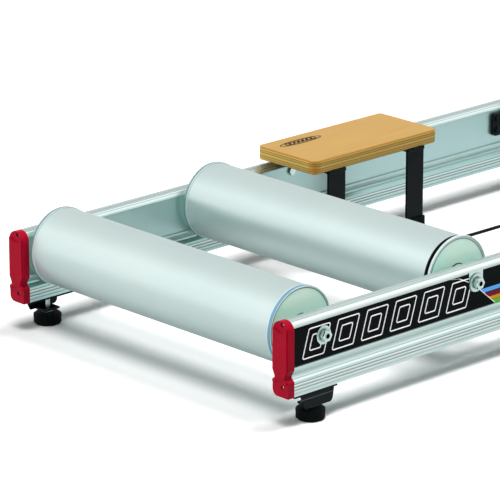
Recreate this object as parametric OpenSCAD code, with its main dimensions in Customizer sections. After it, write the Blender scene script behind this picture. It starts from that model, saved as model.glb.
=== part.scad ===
// Folding training rollers for a bicycle: two extruded side rails on rubber feet, three drums on
// fixed axles, a round belt from the middle drum to the front drum and a plywood step.
// The +X axis runs to the front, +Y to the rider's left and +Z up. The floor is at z = 0, and the
// origin is on the floor at the middle of the object.

/* [Frame] */
// Length over both ends
frame_len = 1364; // [1300:2:1420]
// Width over the outer sides of the two rails
frame_w = 502; // [470:1:520]
// Height of the rails' underside above the floor
rail_z = 38.5; // [36:0.5:42]
// Distance from the rear end to the folding line
fold_x = 910; // [890:1:930]
// Gap between the ends of the rails at the folding line
fold_gap = 0.6; // [0.4:0.1:2]

/* [Rail section] */
// Width of a rail
rail_w = 25; // [24.5:0.5:28]
// Height of a rail
rail_h = 93.5; // [92:0.5:104]
// Radius of the rounded shoulders of the top bead
shoulder_r = 12; // [10:0.25:12]
// Wall thickness of the rail
rail_wall = 2; // [1.6:0.1:2.4]
// Depth of the flat recess in each side
web_in = 2; // [1:0.25:2.5]
// Bottom edge of the side recess, above the rail's underside
web_z = 36.5; // [35.5:0.1:38]
// Height of the top bead above the side recess
bead_h = 7.5; // [7:0.1:9]
// Height of the lip under the side recess
lip_h = 2.5; // [1:0.1:3]
// Depth of the waist
waist_in = 4.5; // [2:0.1:5]
// Centre height of the waist above the rail's underside
waist_z = 24.8; // [24:0.1:26.5]
// Height of the flat floor of the waist
waist_flat = 2.4; // [1.5:0.1:4]
// Height of the lower bulb below the waist
bulb_h = 19.5; // [18.5:0.1:20.5]
// Radius of the bulb's rounded lower corner
bulb_r = 8; // [5:0.5:8.5]
// Radius of the fine grooves along the rail
groove_r = 0.5; // [0.3:0.05:0.6]
// Height of the lowest side groove above the rail's underside
groove_low = 4; // [3.5:0.1:4.5]
// Spacing of the side grooves
groove_step = 3.8; // [3.2:0.1:4]
// Angle of the inner grooves of the top bead from its crest
top_groove_a = 8; // [6:1:12]
// Angle of the outer grooves of the top bead from its crest
top_groove_b = 31; // [24:1:36]
// Bore of the screw ports in the rail
port_r = 1.8; // [1.6:0.1:2]
// Wall round a screw port
port_wall = 2.4; // [2:0.1:2.6]
// Height of the lower screw port above the rail's underside
port_lo = 12; // [10:0.1:12.5]
// Depth of the upper screw port below the rail's top
port_hi = 4.3; // [4:0.1:5]
// Distance of the screw ports to the right of the rail's middle
port_out = 3; // [1:0.25:3.5]

/* [End caps] */
// Thickness of an end cap without its raised panel
cap_t = 10; // [7:0.5:14]
// How far a cap stands out past the sides of the rail
cap_over = 0.7; // [0.5:0.1:2.5]
// How far a cap stands above the rail
cap_top = 0; // [0:0.1:2.5]
// Height of the cap's raised panel
panel_t = 2; // [1:0.25:3]
// Width left round the raised panel
panel_edge = 1.5; // [1:0.25:5]
// Radius of the hollow ends of the panel round the screws
panel_r = 10; // [8:0.25:11]
// Radius of a cap screw's head
cap_screw_r = 2.7; // [2.5:0.1:3]
// Height of a cap screw's head
cap_screw_h = 3; // [2:0.25:4]
// Depth of the screw heads below the cap's face
cap_screw_in = 2.6; // [2:0.1:4]
// Length of a cap screw in the rail
cap_screw_len = 18; // [10:1:30]

/* [Drums] */
// Outside radius of the drum tubes
tube_r = 49.7; // [48:0.1:51]
// Wall thickness of the drum tubes
tube_wall = 2.5; // [2:0.1:3]
// Height of the rear and front axles above the floor
axle_z = 104.5; // [100:0.5:106]
// How much higher the middle drum sits
drive_up = 5.4; // [3:0.2:8]
// Distance from the rear end to the rear axle
rear_axle_x = 61; // [56:1:66]
// Distance between the rear and the middle axle
cradle_len = 260; // [240:1:275]
// Distance from the front end to the front axle
front_axle_x = 133; // [120:1:145]
// Gap between the left rail and the drums
left_gap = 3.5; // [1:0.25:5]
// Gap between the right rail and a plain drum
right_gap = 14; // [10:0.5:16]
// How much further a belt drum reaches to the right
belt_end = 7.5; // [2:0.25:8]
// Radius of the end cups' rims
rim_r = 50.6; // [50.2:0.1:52]
// Width of the end cups' rims
rim_w = 6.3; // [5:0.1:9]
// Width of the rim's end face
rim_face = 1.5; // [1:0.1:2.5]
// Depth of the dished end face
dish_in = 1; // [1:0.1:2]
// Thickness of the end cup's disc
disc_t = 3; // [2:0.25:4]
// Length of the end cup's spigot inside the tube
spigot_len = 12; // [8:0.5:20]
// Radius of the belt drums' outer flange
flange_r = 52; // [51:0.1:53]
// Thickness of the belt drums' outer flange
flange_t = 3; // [2.5:0.25:4]

/* [Axles] */
// Radius of the axles
axle_r = 5; // [4:0.25:6]
// Radius of the threaded ends of the axles
thread_r = 4; // [3.5:0.25:4.5]
// Distance of the axles' shoulders inside the outer faces of the rails' recesses
axle_step_in = 0.5; // [0.25:0.05:1]
// Outside radius of the bearings
bearing_r = 13; // [12.5:0.25:14]
// Width of the bearings
bearing_w = 8; // [7:0.25:9]
// Wall of the hub round a bearing
hub_wall = 3; // [2:0.25:5]
// Running clearance between a bearing and its axle
axle_run = 0.05; // [0.02:0.01:0.1]
// Clearance of the axles in the rails and of loose sleeves and nuts on the axles
axle_fit = 0.2; // [0.1:0.05:0.4]
// Clearance at the end of a turning bearing
end_run = 0.3; // [0.2:0.05:0.6]
// Wall of the spacer sleeves
sleeve_wall = 2.8; // [2:0.2:3.4]
// Radius of the axle washers
washer_r = 11.5; // [9:0.1:12.5]
// Thickness of the axle washers
washer_t = 1.6; // [1.2:0.1:2.4]
// Width across the flats of the axle nuts
nut_af = 13; // [12:0.5:14]
// Height of the axle nuts
nut_h = 6.5; // [5:0.25:8]
// Length of thread beyond a nut
thread_out = 0.5; // [0.25:0.25:3]
// Width across the flats of the sockets in the axles' ends
socket_af = 5; // [4:0.5:5]
// Depth of the sockets in the axles' ends
socket_in = 4; // [2:0.5:6]
// Half width of the keeper plates of the middle axle
keeper_r = 12.2; // [11:0.1:14]
// Thickness of the keeper plates
keeper_t = 1.2; // [1:0.1:2.6]

/* [Belt] */
// Radius of the round belt
belt_r = 2.1; // [1.5:0.1:2.5]
// Radius of the belt's centre line on the drums
belt_pitch_r = 45.6; // [44.8:0.1:46]
// Clearance of the belt in its grooves
belt_fit = 0.3; // [0.2:0.05:0.5]

/* [Feet] */
// Distance from the rear end to the rear feet, and from the front end to the front feet
foot_x = 51.4; // [48:0.1:56]
// Radius of the rubber feet
pad_r = 17.7; // [15:0.1:19]
// Height of the rubber feet
pad_h = 14.5; // [13:0.25:16]
// Chamfer of the rubber feet
pad_chamfer = 2.2; // [0.5:0.1:3]
// Radius of the foot studs
stud_r = 3.25; // [3:0.25:4]
// Radius of the studs' collars
collar_r = 8; // [7:0.25:10]
// Thickness of the studs' collars
collar_t = 4; // [3:0.1:5]
// Depth of the studs in the rubber
stud_in = 8; // [5:0.25:10]
// Gap between a stud's collar and its bracket
collar_gap = 0.4; // [0.3:0.1:1]
// Gap between a stud's top and the plate above it
stud_top_gap = 1.5; // [1:0.25:3]
// Radial clearance of a stud in its bracket
stud_fit = 0.3; // [0.2:0.05:0.5]
// Steel thickness of the foot brackets
bracket_t = 2.5; // [2:0.1:3]
// Start of a bracket's top plate, from the end of the object
bracket_x0 = 14; // [13:0.5:17]
// Length of a bracket's top plate
bracket_len = 70.5; // [68:0.5:80]
// Reach of a bracket's side plate towards the end of the object, at the top
flap_back = 28; // [22:0.5:30]
// Reach of a bracket's side plate towards the end of the object, at the bottom
flap_low = 19; // [14:0.5:21]
// Reach of a bracket's side plate towards the middle of the object
flap_fwd = 27; // [25:0.5:32]
// Outer radius of the bend between a bracket's top plate and its side plate
flap_bend = 4; // [3:0.25:5]
// How much shorter the side plate's inner end is at the bottom
flap_lean = 2; // [0:0.25:4]
// Corner radius of a bracket's side plate
flap_r = 6; // [3:0.25:7]
// Length of a bracket's bottom plate
floor_len = 24; // [20:0.5:30]
// Distance of the middle feet in front of the folding line
mid_foot_x = 22; // [18:0.5:30]
// Radius of the middle feet
mid_pad_r = 14; // [12:0.25:14.5]
// Height of the middle feet
mid_pad_h = 14; // [10:0.5:16]
// Radius of the necks of the middle feet
plug_r = 3; // [2:0.1:4]

/* [Step] */
// Distance from the rear end to the step board
board_x = 428; // [400:1:440]
// Length of the step board along the rail
board_len = 234; // [220:1:260]
// Width of the step board
board_w = 111; // [100:1:125]
// Thickness of the step board
board_t = 18; // [12:0.5:20]
// Corner radius of the step board
board_r = 12; // [6:0.5:20]
// Radius of the rounded edges of the step board
board_edge = 2.5; // [1:0.25:5]
// Distance of the board's outer edge from the rail's outer side
board_in = 0; // [0:0.25:4]
// Width of the step straps
strap_w = 30; // [28:0.5:38]
// Thickness of the step straps
strap_t = 4; // [3:0.25:5]
// Gap between a strap and the top of the rail
strap_gap = 1.5; // [0.5:0.25:3]
// Distance from the board's ends to the middle of the straps
strap_in = 43; // [30:1:55]
// Distance of the legs from the board's inner edge
leg_in = 1; // [0.5:0.25:6]
// Outer radius of the straps' bend beside the rail
bend_r = 7; // [6:0.5:10]
// How far a strap reaches past its leg
strap_over = 1.5; // [0.5:0.25:3]
// Height of the rubber boots on the legs
boot_h = 39; // [25:1:50]
// Wall of the rubber boots
boot_wall = 3; // [2:0.25:4]
// Length of the lugs that hang down the outer side of the rail
lug_h = 27; // [25:0.5:32]
// Height of the lug bolts below the rail's top
lug_bolt_z = 15.3; // [14.5:0.1:17]
// Radius of the lug bolts
lug_bolt_r = 3; // [2.5:0.25:3.5]
// Height of the lug bolts' heads and nuts
lug_nut_h = 3.5; // [3:0.25:4]
// Radius of the step's screws
board_screw_r = 2.4; // [2:0.1:3]
// Depth of the step's screws in the board
board_screw_in = 11; // [6:0.5:11.5]
// Spacing of the two screws in each strap
board_screw_gap = 44; // [36:1:50]

/* [Folding hinge] */
// Height of the hinge pins above the rails' top
pin_up = 9.5; // [8:0.25:10.5]
// Radius of the hinge pins
pin_r = 4; // [3:0.25:5]
// Radius of the hinge plates' round ends
lobe_r = 11; // [10:0.25:12]
// Steel thickness of the hinge plates
leaf_t = 3; // [2.5:0.1:4]
// Length of a hinge plate along the rail
leaf_len = 44; // [40:0.5:60]
// Height of the hinge plates
leaf_h = 32; // [28:0.5:36]
// Distance from the rail's underside to the hinge plates
leaf_z = 49; // [47:0.5:51]
// Corner radius of the hinge plates
leaf_r = 5; // [3:0.25:7]
// Distance of a hinge plate from the folding line
leaf_gap = 6; // [4:0.5:8]
// Gap between plates that swing past each other
leaf_run = 0.3; // [0.2:0.05:0.6]
// Radial clearance of a hinge pin in the front plates
pin_run = 0.08; // [0.03:0.01:0.1]
// Radius of the hinge screws
leaf_screw_r = 2.5; // [2:0.1:3]
// Distance of the hinge screws from the plate's edges
leaf_screw_in = 8; // [7:0.25:10]
// Spacing of the spare axle holes in the front rails
spare_step = 25; // [22:1:30]

/* [Hidden] */
$fn = 64;
eps = 0.01;
alloy = "gainsboro";
anodised = "#b4c6c4";
plated = "#a9cfd0";
zinc = "silver";
red = "crimson";
black = "#1c2326";
rubber = "#101416";
birch = "burlywood";
rear = -frame_len / 2;
front = frame_len / 2;
cap_face = rear + panel_t;
fold = rear + fold_x;
rail_top = rail_z + rail_h;
rail_y = frame_w / 2 - rail_w / 2;
bead_y = frame_w / 2 - rail_w;
web_y_in = bead_y + web_in;
web_y_out = frame_w / 2 - web_in;
web_top = rail_h - bead_h;
waist_hi = waist_z + waist_flat / 2;
waist_lo = waist_z - waist_flat / 2;
port_z = [port_lo, rail_h - port_hi];
groove_zs = [for (k = [0, 1, 2]) groove_low + k * groove_step];
port_boss = port_r + port_wall;
screw_fit = 0.2;
// Axle places: x and z of the rear, the middle and the front axle
rear_ax = [rear + rear_axle_x, axle_z];
drive_ax = [rear + rear_axle_x + cradle_len, axle_z + drive_up];
front_ax = [front - front_axle_x, axle_z];
// Ends of the drums along Y
drum_left = bead_y - left_gap;
drum_right = -(bead_y - right_gap);
belt_right = drum_right - belt_end;
tube_in_r = tube_r - tube_wall;
hub_r = bearing_r + hub_wall;
bearing_back = dish_in + bearing_w;
// The belt groove lies between the outer flange and the tube
groove_w = 2 * (belt_r + belt_fit);
groove_c = flange_t + groove_w / 2 + 1.2;
belt_rim_w = groove_c + groove_w / 2 + 1.6;
belt_y = belt_right + groove_c;
// Feet
collar_top = pad_h + collar_t;
floor_z = collar_top + collar_gap;
plate_z = rail_z - bracket_t;
stud_top = plate_z - stud_top_gap;
mid_ax = fold + mid_foot_x;
// Step
strap_z = rail_top + strap_gap;
lug_y = frame_w / 2;
board_z = strap_z + strap_t;
board_x0 = rear + board_x;
board_y1 = frame_w / 2 - board_in;
board_y0 = board_y1 - board_w;
leg_y = board_y0 + leg_in;
strap_xs = [board_x0 + strap_in, board_x0 + board_len - strap_in];
boot_floor = boot_wall;
board_screw_y = (board_y0 + bead_y) / 2;
// Hinge
pin_z = rail_top + pin_up;
leaf_rear_y = bead_y - leaf_run;
leaf_front_y = leaf_rear_y - leaf_t - leaf_run;
leaf_inner_y = leaf_front_y - leaf_t;
spare_xs = [for (k = [-2, -1, 1, 2]) front_ax[0] + k * spare_step];

// Extrudes a Y-Z section along +X, a disc along +Y, and an X-Z plate along +Y
module along_x(len) { rotate([90, 0, 90]) linear_extrude(len) children(); }
module along_y() { rotate([-90, 0, 0]) children(); }
module plate_xz(y0, t) { translate([0, y0 + t, 0]) rotate([90, 0, 0]) linear_extrude(t) children(); }
// Puts a piece made for the left side, +Y, on the side s: 1 is left and -1 is right
module on_side(s) { if (s > 0) children(); else mirror([0, 1, 0]) children(); }

// Outline of the rail: rounded top bead, straight sides, waist and lower bulb
module rail_outline(o = 0, top = 0) {
    h = rail_h + top;
    w = rail_w / 2 + o;
    r = shoulder_r + o;
    difference() {
        union() {
            translate([-w, 0]) square([2 * w, h - r]);
            translate([-w + r, h - r - eps]) square([2 * (w - r), r + eps]);
            for (s = [-1, 1]) translate([s * (w - r), h - r]) circle(r);
        }
        for (s = [-1, 1]) polygon([
            [s * (w + 2), web_z - lip_h], [s * w, web_z - lip_h],
            [s * (w - waist_in), waist_hi], [s * (w - waist_in), waist_lo],
            [s * w, bulb_h], [s * (w + 2), bulb_h]]);
        difference() {
            translate([w - bulb_r, -1]) square([bulb_r + 1, bulb_r + 1]);
            translate([w - bulb_r, bulb_r]) circle(bulb_r);
        }
    }
}

// Closed chambers and screw ports inside the rail
module rail_chambers() {
    w = rail_w / 2;
    web = w - web_in - rail_wall;
    neck = w - waist_in - rail_wall;
    low = w - rail_wall;
    floor_up = waist_hi + rail_wall / 2;
    polygon([[-web, web_top - rail_wall], [web, web_top - rail_wall], [web, web_z], [neck, floor_up],
        [-neck, floor_up], [-web, web_z]]);
    difference() {
        intersection() {
            union() {
                for (s = [-1, 1]) translate([s * (w - shoulder_r), rail_h - shoulder_r])
                    circle(shoulder_r - rail_wall);
                translate([shoulder_r - w, 0]) square([2 * (w - shoulder_r), rail_h - rail_wall]);
            }
            translate([-w, web_top + rail_wall * 0.3]) square([2 * w, bead_h]);
        }
        translate([-port_out, port_z[1]]) circle(port_boss);
    }
    difference() {
        polygon([[-low, rail_wall + 1], [w - bulb_r + 1, rail_wall + 1], [low, bulb_r + 2],
            [low, bulb_h - 2], [neck, waist_lo - 1], [neck, floor_up - rail_wall],
            [-neck, floor_up - rail_wall], [-neck, waist_lo - 1], [-low, bulb_h - 2]]);
        translate([-port_out, port_z[0]]) circle(port_boss);
        translate([-port_out - rail_wall / 2, 0]) square([rail_wall, port_z[0]]);
    }
    for (z = port_z) translate([-port_out, z]) circle(port_r);
}

// Full section of the rail with its side recesses and fine grooves
module rail_section() {
    w = rail_w / 2;
    difference() {
        rail_outline();
        for (s = [-1, 1]) {
            translate([s > 0 ? w - web_in : -w - 1, web_z]) square([web_in + 1, web_top - web_z]);
            for (a = [top_groove_a, top_groove_b])
                translate([s * (w - shoulder_r + shoulder_r * sin(a)), rail_h - shoulder_r * (1 - cos(a))])
                    circle(groove_r);
        }
        for (z = groove_zs) translate([-w, z]) circle(groove_r);
        translate([w, groove_zs[2]]) circle(groove_r);
        rail_chambers();
    }
}

module cross_hole(x, z, r) {
    translate([x, -rail_w, z]) along_y() cylinder(r = r, h = 2 * rail_w);
}

module rail_piece(x0, x1, s) {
    translate([0, s * rail_y, 0]) difference() {
        translate([x0, 0, rail_z]) along_x(x1 - x0) rail_section();
        children();
    }
}

module rear_rail(s) {
    color(alloy) rail_piece(cap_face + cap_t, fold - fold_gap / 2, s) {
        for (a = [rear_ax, drive_ax]) cross_hole(a[0], a[1], axle_r + axle_fit);
        for (p = leaf_screws(-1)) cross_hole_in(p[0], p[1], s);
        if (s > 0) for (x = strap_xs) cross_hole(x, rail_top - lug_bolt_z, lug_bolt_r + screw_fit);
    }
}

module front_rail(s) {
    color(alloy) rail_piece(fold + fold_gap / 2, front - panel_t - cap_t, s) {
        for (x = concat([front_ax[0]], spare_xs)) cross_hole(x, front_ax[1], axle_r + axle_fit);
        for (p = leaf_screws(1)) cross_hole_in(p[0], p[1], s);
    }
}

// Screw hole through the inner wall of a rail only
module cross_hole_in(x, z, s) {
    translate([x, s > 0 ? -rail_w : 0, z]) along_y() cylinder(r = leaf_screw_r + screw_fit, h = rail_w);
}

// End cap seen from the end: the rail's outline, screw sinks and a raised panel
module end_cap(s, e) {
    face = e < 0 ? cap_face : front - panel_t;
    inner = face - e * cap_t;
    color(red) translate([0, s * rail_y, rail_z]) difference() {
        union() {
            translate([min(face, inner), 0, 0]) along_x(cap_t) rail_outline(cap_over, cap_top);
            translate([e < 0 ? face - panel_t : face - eps, 0, 0]) along_x(panel_t + eps) difference() {
                translate([-rail_w / 2 - cap_over + panel_edge, port_z[0] + panel_r / 2])
                    square([rail_w + 2 * cap_over - 2 * panel_edge, port_z[1] - port_z[0] - panel_r]);
                for (z = port_z) translate([0, z]) circle(panel_r);
                for (k = [-1, 1]) polygon([
                    [k * (rail_w / 2 + cap_over), web_z], [k * (rail_w / 2 - waist_in), waist_hi],
                    [k * (rail_w / 2 - waist_in), waist_lo], [k * (rail_w / 2 + cap_over), bulb_h]]);
            }
        }
        for (z = port_z) {
            translate([min(face, inner) - 1, -port_out, z]) rotate([0, 90, 0])
                cylinder(r = port_r + screw_fit + 0.4, h = cap_t + 2);
            translate([e < 0 ? face - 1 : face - cap_screw_in - cap_screw_h, -port_out, z]) rotate([0, 90, 0])
                cylinder(r = cap_screw_r + screw_fit, h = cap_screw_in + cap_screw_h + 1);
        }
    }
}

// Socket screw along X with its head towards e
module cap_screw(e) {
    rotate([0, e * 90, 0]) difference() {
        union() {
            translate([0, 0, -cap_screw_h]) cylinder(r = cap_screw_r, h = cap_screw_h);
            translate([0, 0, -cap_t - cap_screw_len])
                cylinder(r = port_r, h = cap_t + cap_screw_len - cap_screw_h / 2);
        }
        translate([0, 0, -cap_screw_h * 0.6]) cylinder(r = cap_screw_r * 0.55, h = cap_screw_h, $fn = 6);
    }
}

// All cap screws of one end
module frame_screws(e) {
    face = e < 0 ? cap_face : front - panel_t;
    color(zinc) for (s = [-1, 1], z = port_z)
        translate([face - e * cap_screw_in, s * rail_y - port_out, rail_z + z]) cap_screw(e);
}

// Foot bracket for the rear left corner: top plate, side plate and bottom plate
module bracket_shape() {
    y1 = rail_y + rail_w / 2;
    y0 = rail_y - rail_w / 2;
    mid = rear + foot_x;
    low_end = mid + flap_fwd - flap_lean;
    difference() {
        union() {
            translate([rear + bracket_x0, y0, plate_z]) cube([bracket_len, rail_w, bracket_t]);
            plate_xz(y1 - bracket_t, bracket_t) difference() {
                polygon([[mid - flap_back, plate_z + bracket_t / 2], [mid - flap_low, floor_z],
                    [low_end, floor_z], [low_end, floor_z + flap_r],
                    [mid + flap_fwd, plate_z + bracket_t / 2]]);
                difference() {
                    translate([low_end - flap_r, floor_z - 1]) square([flap_r + 1, flap_r + 1]);
                    translate([low_end - flap_r, floor_z + flap_r]) circle(flap_r);
                }
            }
            translate([mid - floor_len / 2, y0 + bracket_t, floor_z])
                cube([floor_len, rail_w - bracket_t * 1.5, bracket_t]);
        }
        translate([mid, rail_y, floor_z - 1]) cylinder(r = stud_r + stud_fit, h = bracket_t + 2);
        translate([rear + bracket_x0 - 1, y1 - flap_bend, rail_z - flap_bend]) along_x(bracket_len + 2)
            difference() { square(flap_bend + 1); circle(flap_bend); }
    }
}

module at_corner(s, e) { on_side(s) { if (e < 0) children(); else mirror([1, 0, 0]) children(); } }
module foot_bracket(s, e) {
 color(black) at_corner(s, e) bracket_shape();
}

// Rubber foot with a blind hole for its stud
module foot_pad(s, e) {
    color(rubber) at_corner(s, e) translate([rear + foot_x, rail_y, 0]) rotate_extrude() difference() {
        polygon([[0, 0], [pad_r - pad_chamfer, 0], [pad_r, pad_chamfer], [pad_r, pad_h - pad_chamfer],
            [pad_r - pad_chamfer, pad_h], [0, pad_h]]);
        translate([-eps, pad_h - stud_in]) square([stud_r + eps, stud_in + 1]);
    }
}

module foot_stud(s, e) {
    color(zinc) at_corner(s, e) translate([rear + foot_x, rail_y, 0]) {
        translate([0, 0, pad_h - stud_in]) cylinder(r = stud_r, h = stud_top - pad_h + stud_in);
        translate([0, 0, pad_h]) cylinder(r = collar_r, h = collar_t);
    }
}

// Fixed middle foot next to the folding line
module mid_bracket(s) {
    color(black) on_side(s) translate([mid_ax, rail_y, 0]) difference() {
        union() {
            translate([-mid_pad_r - 1, -rail_w / 2, plate_z]) cube([2 * mid_pad_r + 2, rail_w, bracket_t]);
            for (k = [-1, 1]) translate([k > 0 ? mid_pad_r - 2 - bracket_t : -mid_pad_r + 2, -rail_w / 2 + 2,
                mid_pad_h]) cube([bracket_t, rail_w - 4, plate_z - mid_pad_h + eps]);
            translate([-mid_pad_r + 2, -rail_w / 2 + 2, mid_pad_h])
                cube([2 * mid_pad_r - 4, rail_w - 4, bracket_t]);
        }
        translate([0, 0, mid_pad_h - 1]) cylinder(r = plug_r, h = bracket_t + 2);
    }
}

module mid_pad(s) {
    color(rubber) on_side(s) translate([mid_ax, rail_y, 0]) rotate_extrude()
        polygon([[0, 0], [mid_pad_r - 1, 0], [mid_pad_r, 1], [mid_pad_r - 1.5, mid_pad_h],
            [plug_r, mid_pad_h], [plug_r, mid_pad_h + bracket_t], [plug_r * 1.7, mid_pad_h + bracket_t],
            [plug_r, mid_pad_h + bracket_t + 2], [0, mid_pad_h + bracket_t + 2]]);
}

// Drum tube between its two end pieces
module tube(ax, right_end, right_rim) {
    y0 = right_end + right_rim;
    y1 = drum_left - rim_w;
    color(anodised) translate([ax[0], y0, ax[1]]) along_y() difference() {
        cylinder(r = tube_r, h = y1 - y0, $fn = 128);
        translate([0, 0, -1]) cylinder(r = tube_in_r, h = y1 - y0 + 2, $fn = 128);
    }
}

// Section of an end cup: r outwards, h from the end face into the drum
module cup_section(rim, width, in_r) {
    floor_h = dish_in + disc_t;
    hub_top = bearing_back + 2;
    polygon([[rim - 1, 0], [rim, 1], [rim, width], [tube_in_r - axle_run, width],
        [tube_in_r - axle_run, width + spigot_len], [in_r, width + spigot_len],
        [in_r, floor_h + 1.5], [in_r - 1.5, floor_h], [hub_r + 1, floor_h],
        [hub_r, floor_h + 1], [hub_r, hub_top], [bearing_r - 3, hub_top],
        [bearing_r - 3, bearing_back], [bearing_r, bearing_back], [bearing_r, dish_in - 1],
        [hub_r, dish_in - 1], [hub_r + 1, dish_in], [rim - rim_face - 0.6, dish_in],
        [rim - rim_face, dish_in - 0.6], [rim - rim_face, 0.3], [rim - rim_face + 0.3, 0]]);
}

module cup_right(ax) {
    color(plated) translate([ax[0], drum_right, ax[1]]) along_y()
        rotate_extrude($fn = 128) cup_section(rim_r, rim_w, tube_in_r - 2.5);
}

module cup_left(ax) {
    color(plated) translate([ax[0], drum_left, ax[1]]) mirror([0, 1, 0]) along_y()
        rotate_extrude($fn = 128) cup_section(rim_r, rim_w, tube_in_r - 2.5);
}

// Belt drum's right end: outer flange, round-bottomed belt groove and a shoulder for the tube
module pulley(ax) {
    color(plated) translate([ax[0], belt_right, ax[1]]) along_y() rotate_extrude($fn = 128) difference() {
        cup_section(flange_r, belt_rim_w, belt_pitch_r - belt_r - belt_fit - 2.5);
        translate([belt_pitch_r, groove_c]) circle(belt_r + belt_fit);
        polygon([[belt_pitch_r, groove_c - groove_w / 2], [flange_r + 1, groove_c - groove_w / 2 - 1.2],
            [flange_r + 1, groove_c + groove_w / 2 + 1], [belt_pitch_r, groove_c + groove_w / 2]]);
        translate([tube_r, groove_c]) square([flange_r, belt_rim_w]);
    }
}

module bearing() {
    rotate_extrude() difference() {
        translate([axle_r + axle_run, 0]) square([bearing_r - axle_r - axle_run, bearing_w]);
        for (z = [0, bearing_w]) translate([axle_r + 2, z - 0.5]) square([bearing_r - axle_r - 4, 1]);
    }
}

module bearings(ax, right_end) {
    color(zinc) {
        translate([ax[0], right_end + dish_in, ax[1]]) along_y() bearing();
        translate([ax[0], drum_left - dish_in, ax[1]]) mirror([0, 1, 0]) along_y() bearing();
    }
}

// Axle with stepped threaded ends; seat is what lies under its washers
module axle(ax, seat) {
    body = web_y_out - axle_step_in;
    end = web_y_out + seat + washer_t + nut_h + thread_out;
    color(zinc) translate([ax[0], 0, ax[1]]) difference() {
        union() {
            translate([0, -body, 0]) along_y() cylinder(r = axle_r, h = 2 * body);
            translate([0, -end, 0]) along_y() cylinder(r = thread_r, h = 2 * end);
        }
        for (y = [-end - 1, end - socket_in]) translate([0, y, 0]) along_y()
            cylinder(r = socket_af / sqrt(3), h = socket_in + 1, $fn = 6);
    }
}

module ring(y0, y1, r, bore, fn = 64) {
    translate([0, y0, 0]) along_y() difference() {
        cylinder(r = r, h = y1 - y0, $fn = fn);
        translate([0, 0, -1]) cylinder(r = bore, h = y1 - y0 + 2);
    }
}

// Sleeves inside the rails, washers and nuts outside
module axle_fixings(ax, right_end, seat) {
    stack = seat + washer_t;
    loose = axle_r + axle_fit;
    color(zinc) translate([ax[0], 0, ax[1]]) {
        ring(-web_y_in, right_end + dish_in - end_run, axle_r + sleeve_wall, loose);
        ring(drum_left - dish_in + end_run, web_y_in, axle_r + sleeve_wall, loose);
        for (s = [-1, 1]) on_side(s) {
            ring(web_y_out + seat, web_y_out + stack, washer_r, thread_r + axle_fit);
            ring(web_y_out + stack, web_y_out + stack + nut_h, nut_af / sqrt(3), thread_r, 6);
        }
    }
}

// Stamped plates that hang the middle axle from the top beads
module keeper_plates() {
    color(plated) for (s = [-1, 1]) on_side(s) plate_xz(web_y_out, keeper_t) difference() {
        union() {
            translate([drive_ax[0], drive_ax[1]]) circle(keeper_r);
            translate([drive_ax[0] - keeper_r, drive_ax[1]])
                square([2 * keeper_r, rail_z + web_top - drive_ax[1]]);
        }
        translate([drive_ax[0], drive_ax[1]]) circle(thread_r + axle_fit);
    }
}

// Round belt: two straight runs and a half turn on each belt drum
module belt() {
    dx = front_ax[0] - drive_ax[0];
    dz = front_ax[1] - drive_ax[1];
    len = norm([dx, dz]);
    color(rubber) translate([drive_ax[0], belt_y, drive_ax[1]]) rotate([0, -atan2(dz, dx), 0]) {
        for (k = [-1, 1]) translate([0, 0, k * belt_pitch_r]) rotate([0, 90, 0])
            cylinder(r = belt_r, h = len, $fn = 24);
        rotate([90, 0, 0]) rotate([0, 0, 90]) rotate_extrude(angle = 180, $fn = 96)
            translate([belt_pitch_r, 0]) circle(belt_r, $fn = 24);
        translate([len, 0, 0]) rotate([90, 0, 0]) rotate([0, 0, -90]) rotate_extrude(angle = 180, $fn = 96)
            translate([belt_pitch_r, 0]) circle(belt_r, $fn = 24);
    }
}

module round_rect(w, h, r) {
    translate([r, 0]) square([w - 2 * r, h]);
    translate([0, r]) square([w, h - 2 * r]);
    for (x = [r, w - r], y = [r, h - r]) translate([x, y]) circle(r);
}

// Plywood board: rounded corners seen from above and rounded long and short edges
module step_board() {
    color(birch) translate([board_x0, board_y0, board_z]) difference() {
        intersection() {
            linear_extrude(board_t) round_rect(board_len, board_w, board_r);
            along_x(board_len) round_rect(board_w, board_t, board_edge);
            plate_xz(0, board_w) round_rect(board_len, board_t, board_edge);
        }
        for (x = strap_xs, k = [-1, 1])
            translate([x - board_x0, board_screw_y + k * board_screw_gap / 2 - board_y0, -1])
                cylinder(r = board_screw_r, h = board_screw_in + 1);
    }
}

// Strap under the board with its welded leg and the lug bent down the rail
module step_strap(x) {
    bend_z = strap_z + strap_t - bend_r;
    bend_y = lug_y + strap_t - bend_r;
    color(black) translate([x - strap_w / 2, 0, 0]) difference() {
        union() {
            along_x(strap_w) difference() {
                union() {
                    translate([leg_y, boot_floor]) square([strap_t, strap_z - boot_floor + eps]);
                    translate([leg_y - strap_over, strap_z]) square([bend_y - leg_y + strap_over, strap_t]);
                    translate([lug_y, rail_top - lug_h]) square([strap_t, bend_z - rail_top + lug_h]);
                    translate([bend_y, bend_z]) intersection() {
                        circle(bend_r);
                        square(bend_r);
                    }
                }
                translate([bend_y, bend_z]) circle(bend_r - strap_t);
            }
            translate([strap_w / 2, lug_y - web_in, rail_top - lug_bolt_z]) along_y()
                cylinder(r = lug_bolt_r * 2.2, h = web_in + eps);
        }
        translate([strap_w / 2, lug_y - web_in - 1, rail_top - lug_bolt_z]) along_y()
            cylinder(r = lug_bolt_r + screw_fit, h = strap_t + web_in + 2);
        for (k = [-1, 1]) translate([strap_w / 2, board_screw_y + k * board_screw_gap / 2, strap_z - 1])
            cylinder(r = board_screw_r + screw_fit, h = strap_t + 2);
    }
}

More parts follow.
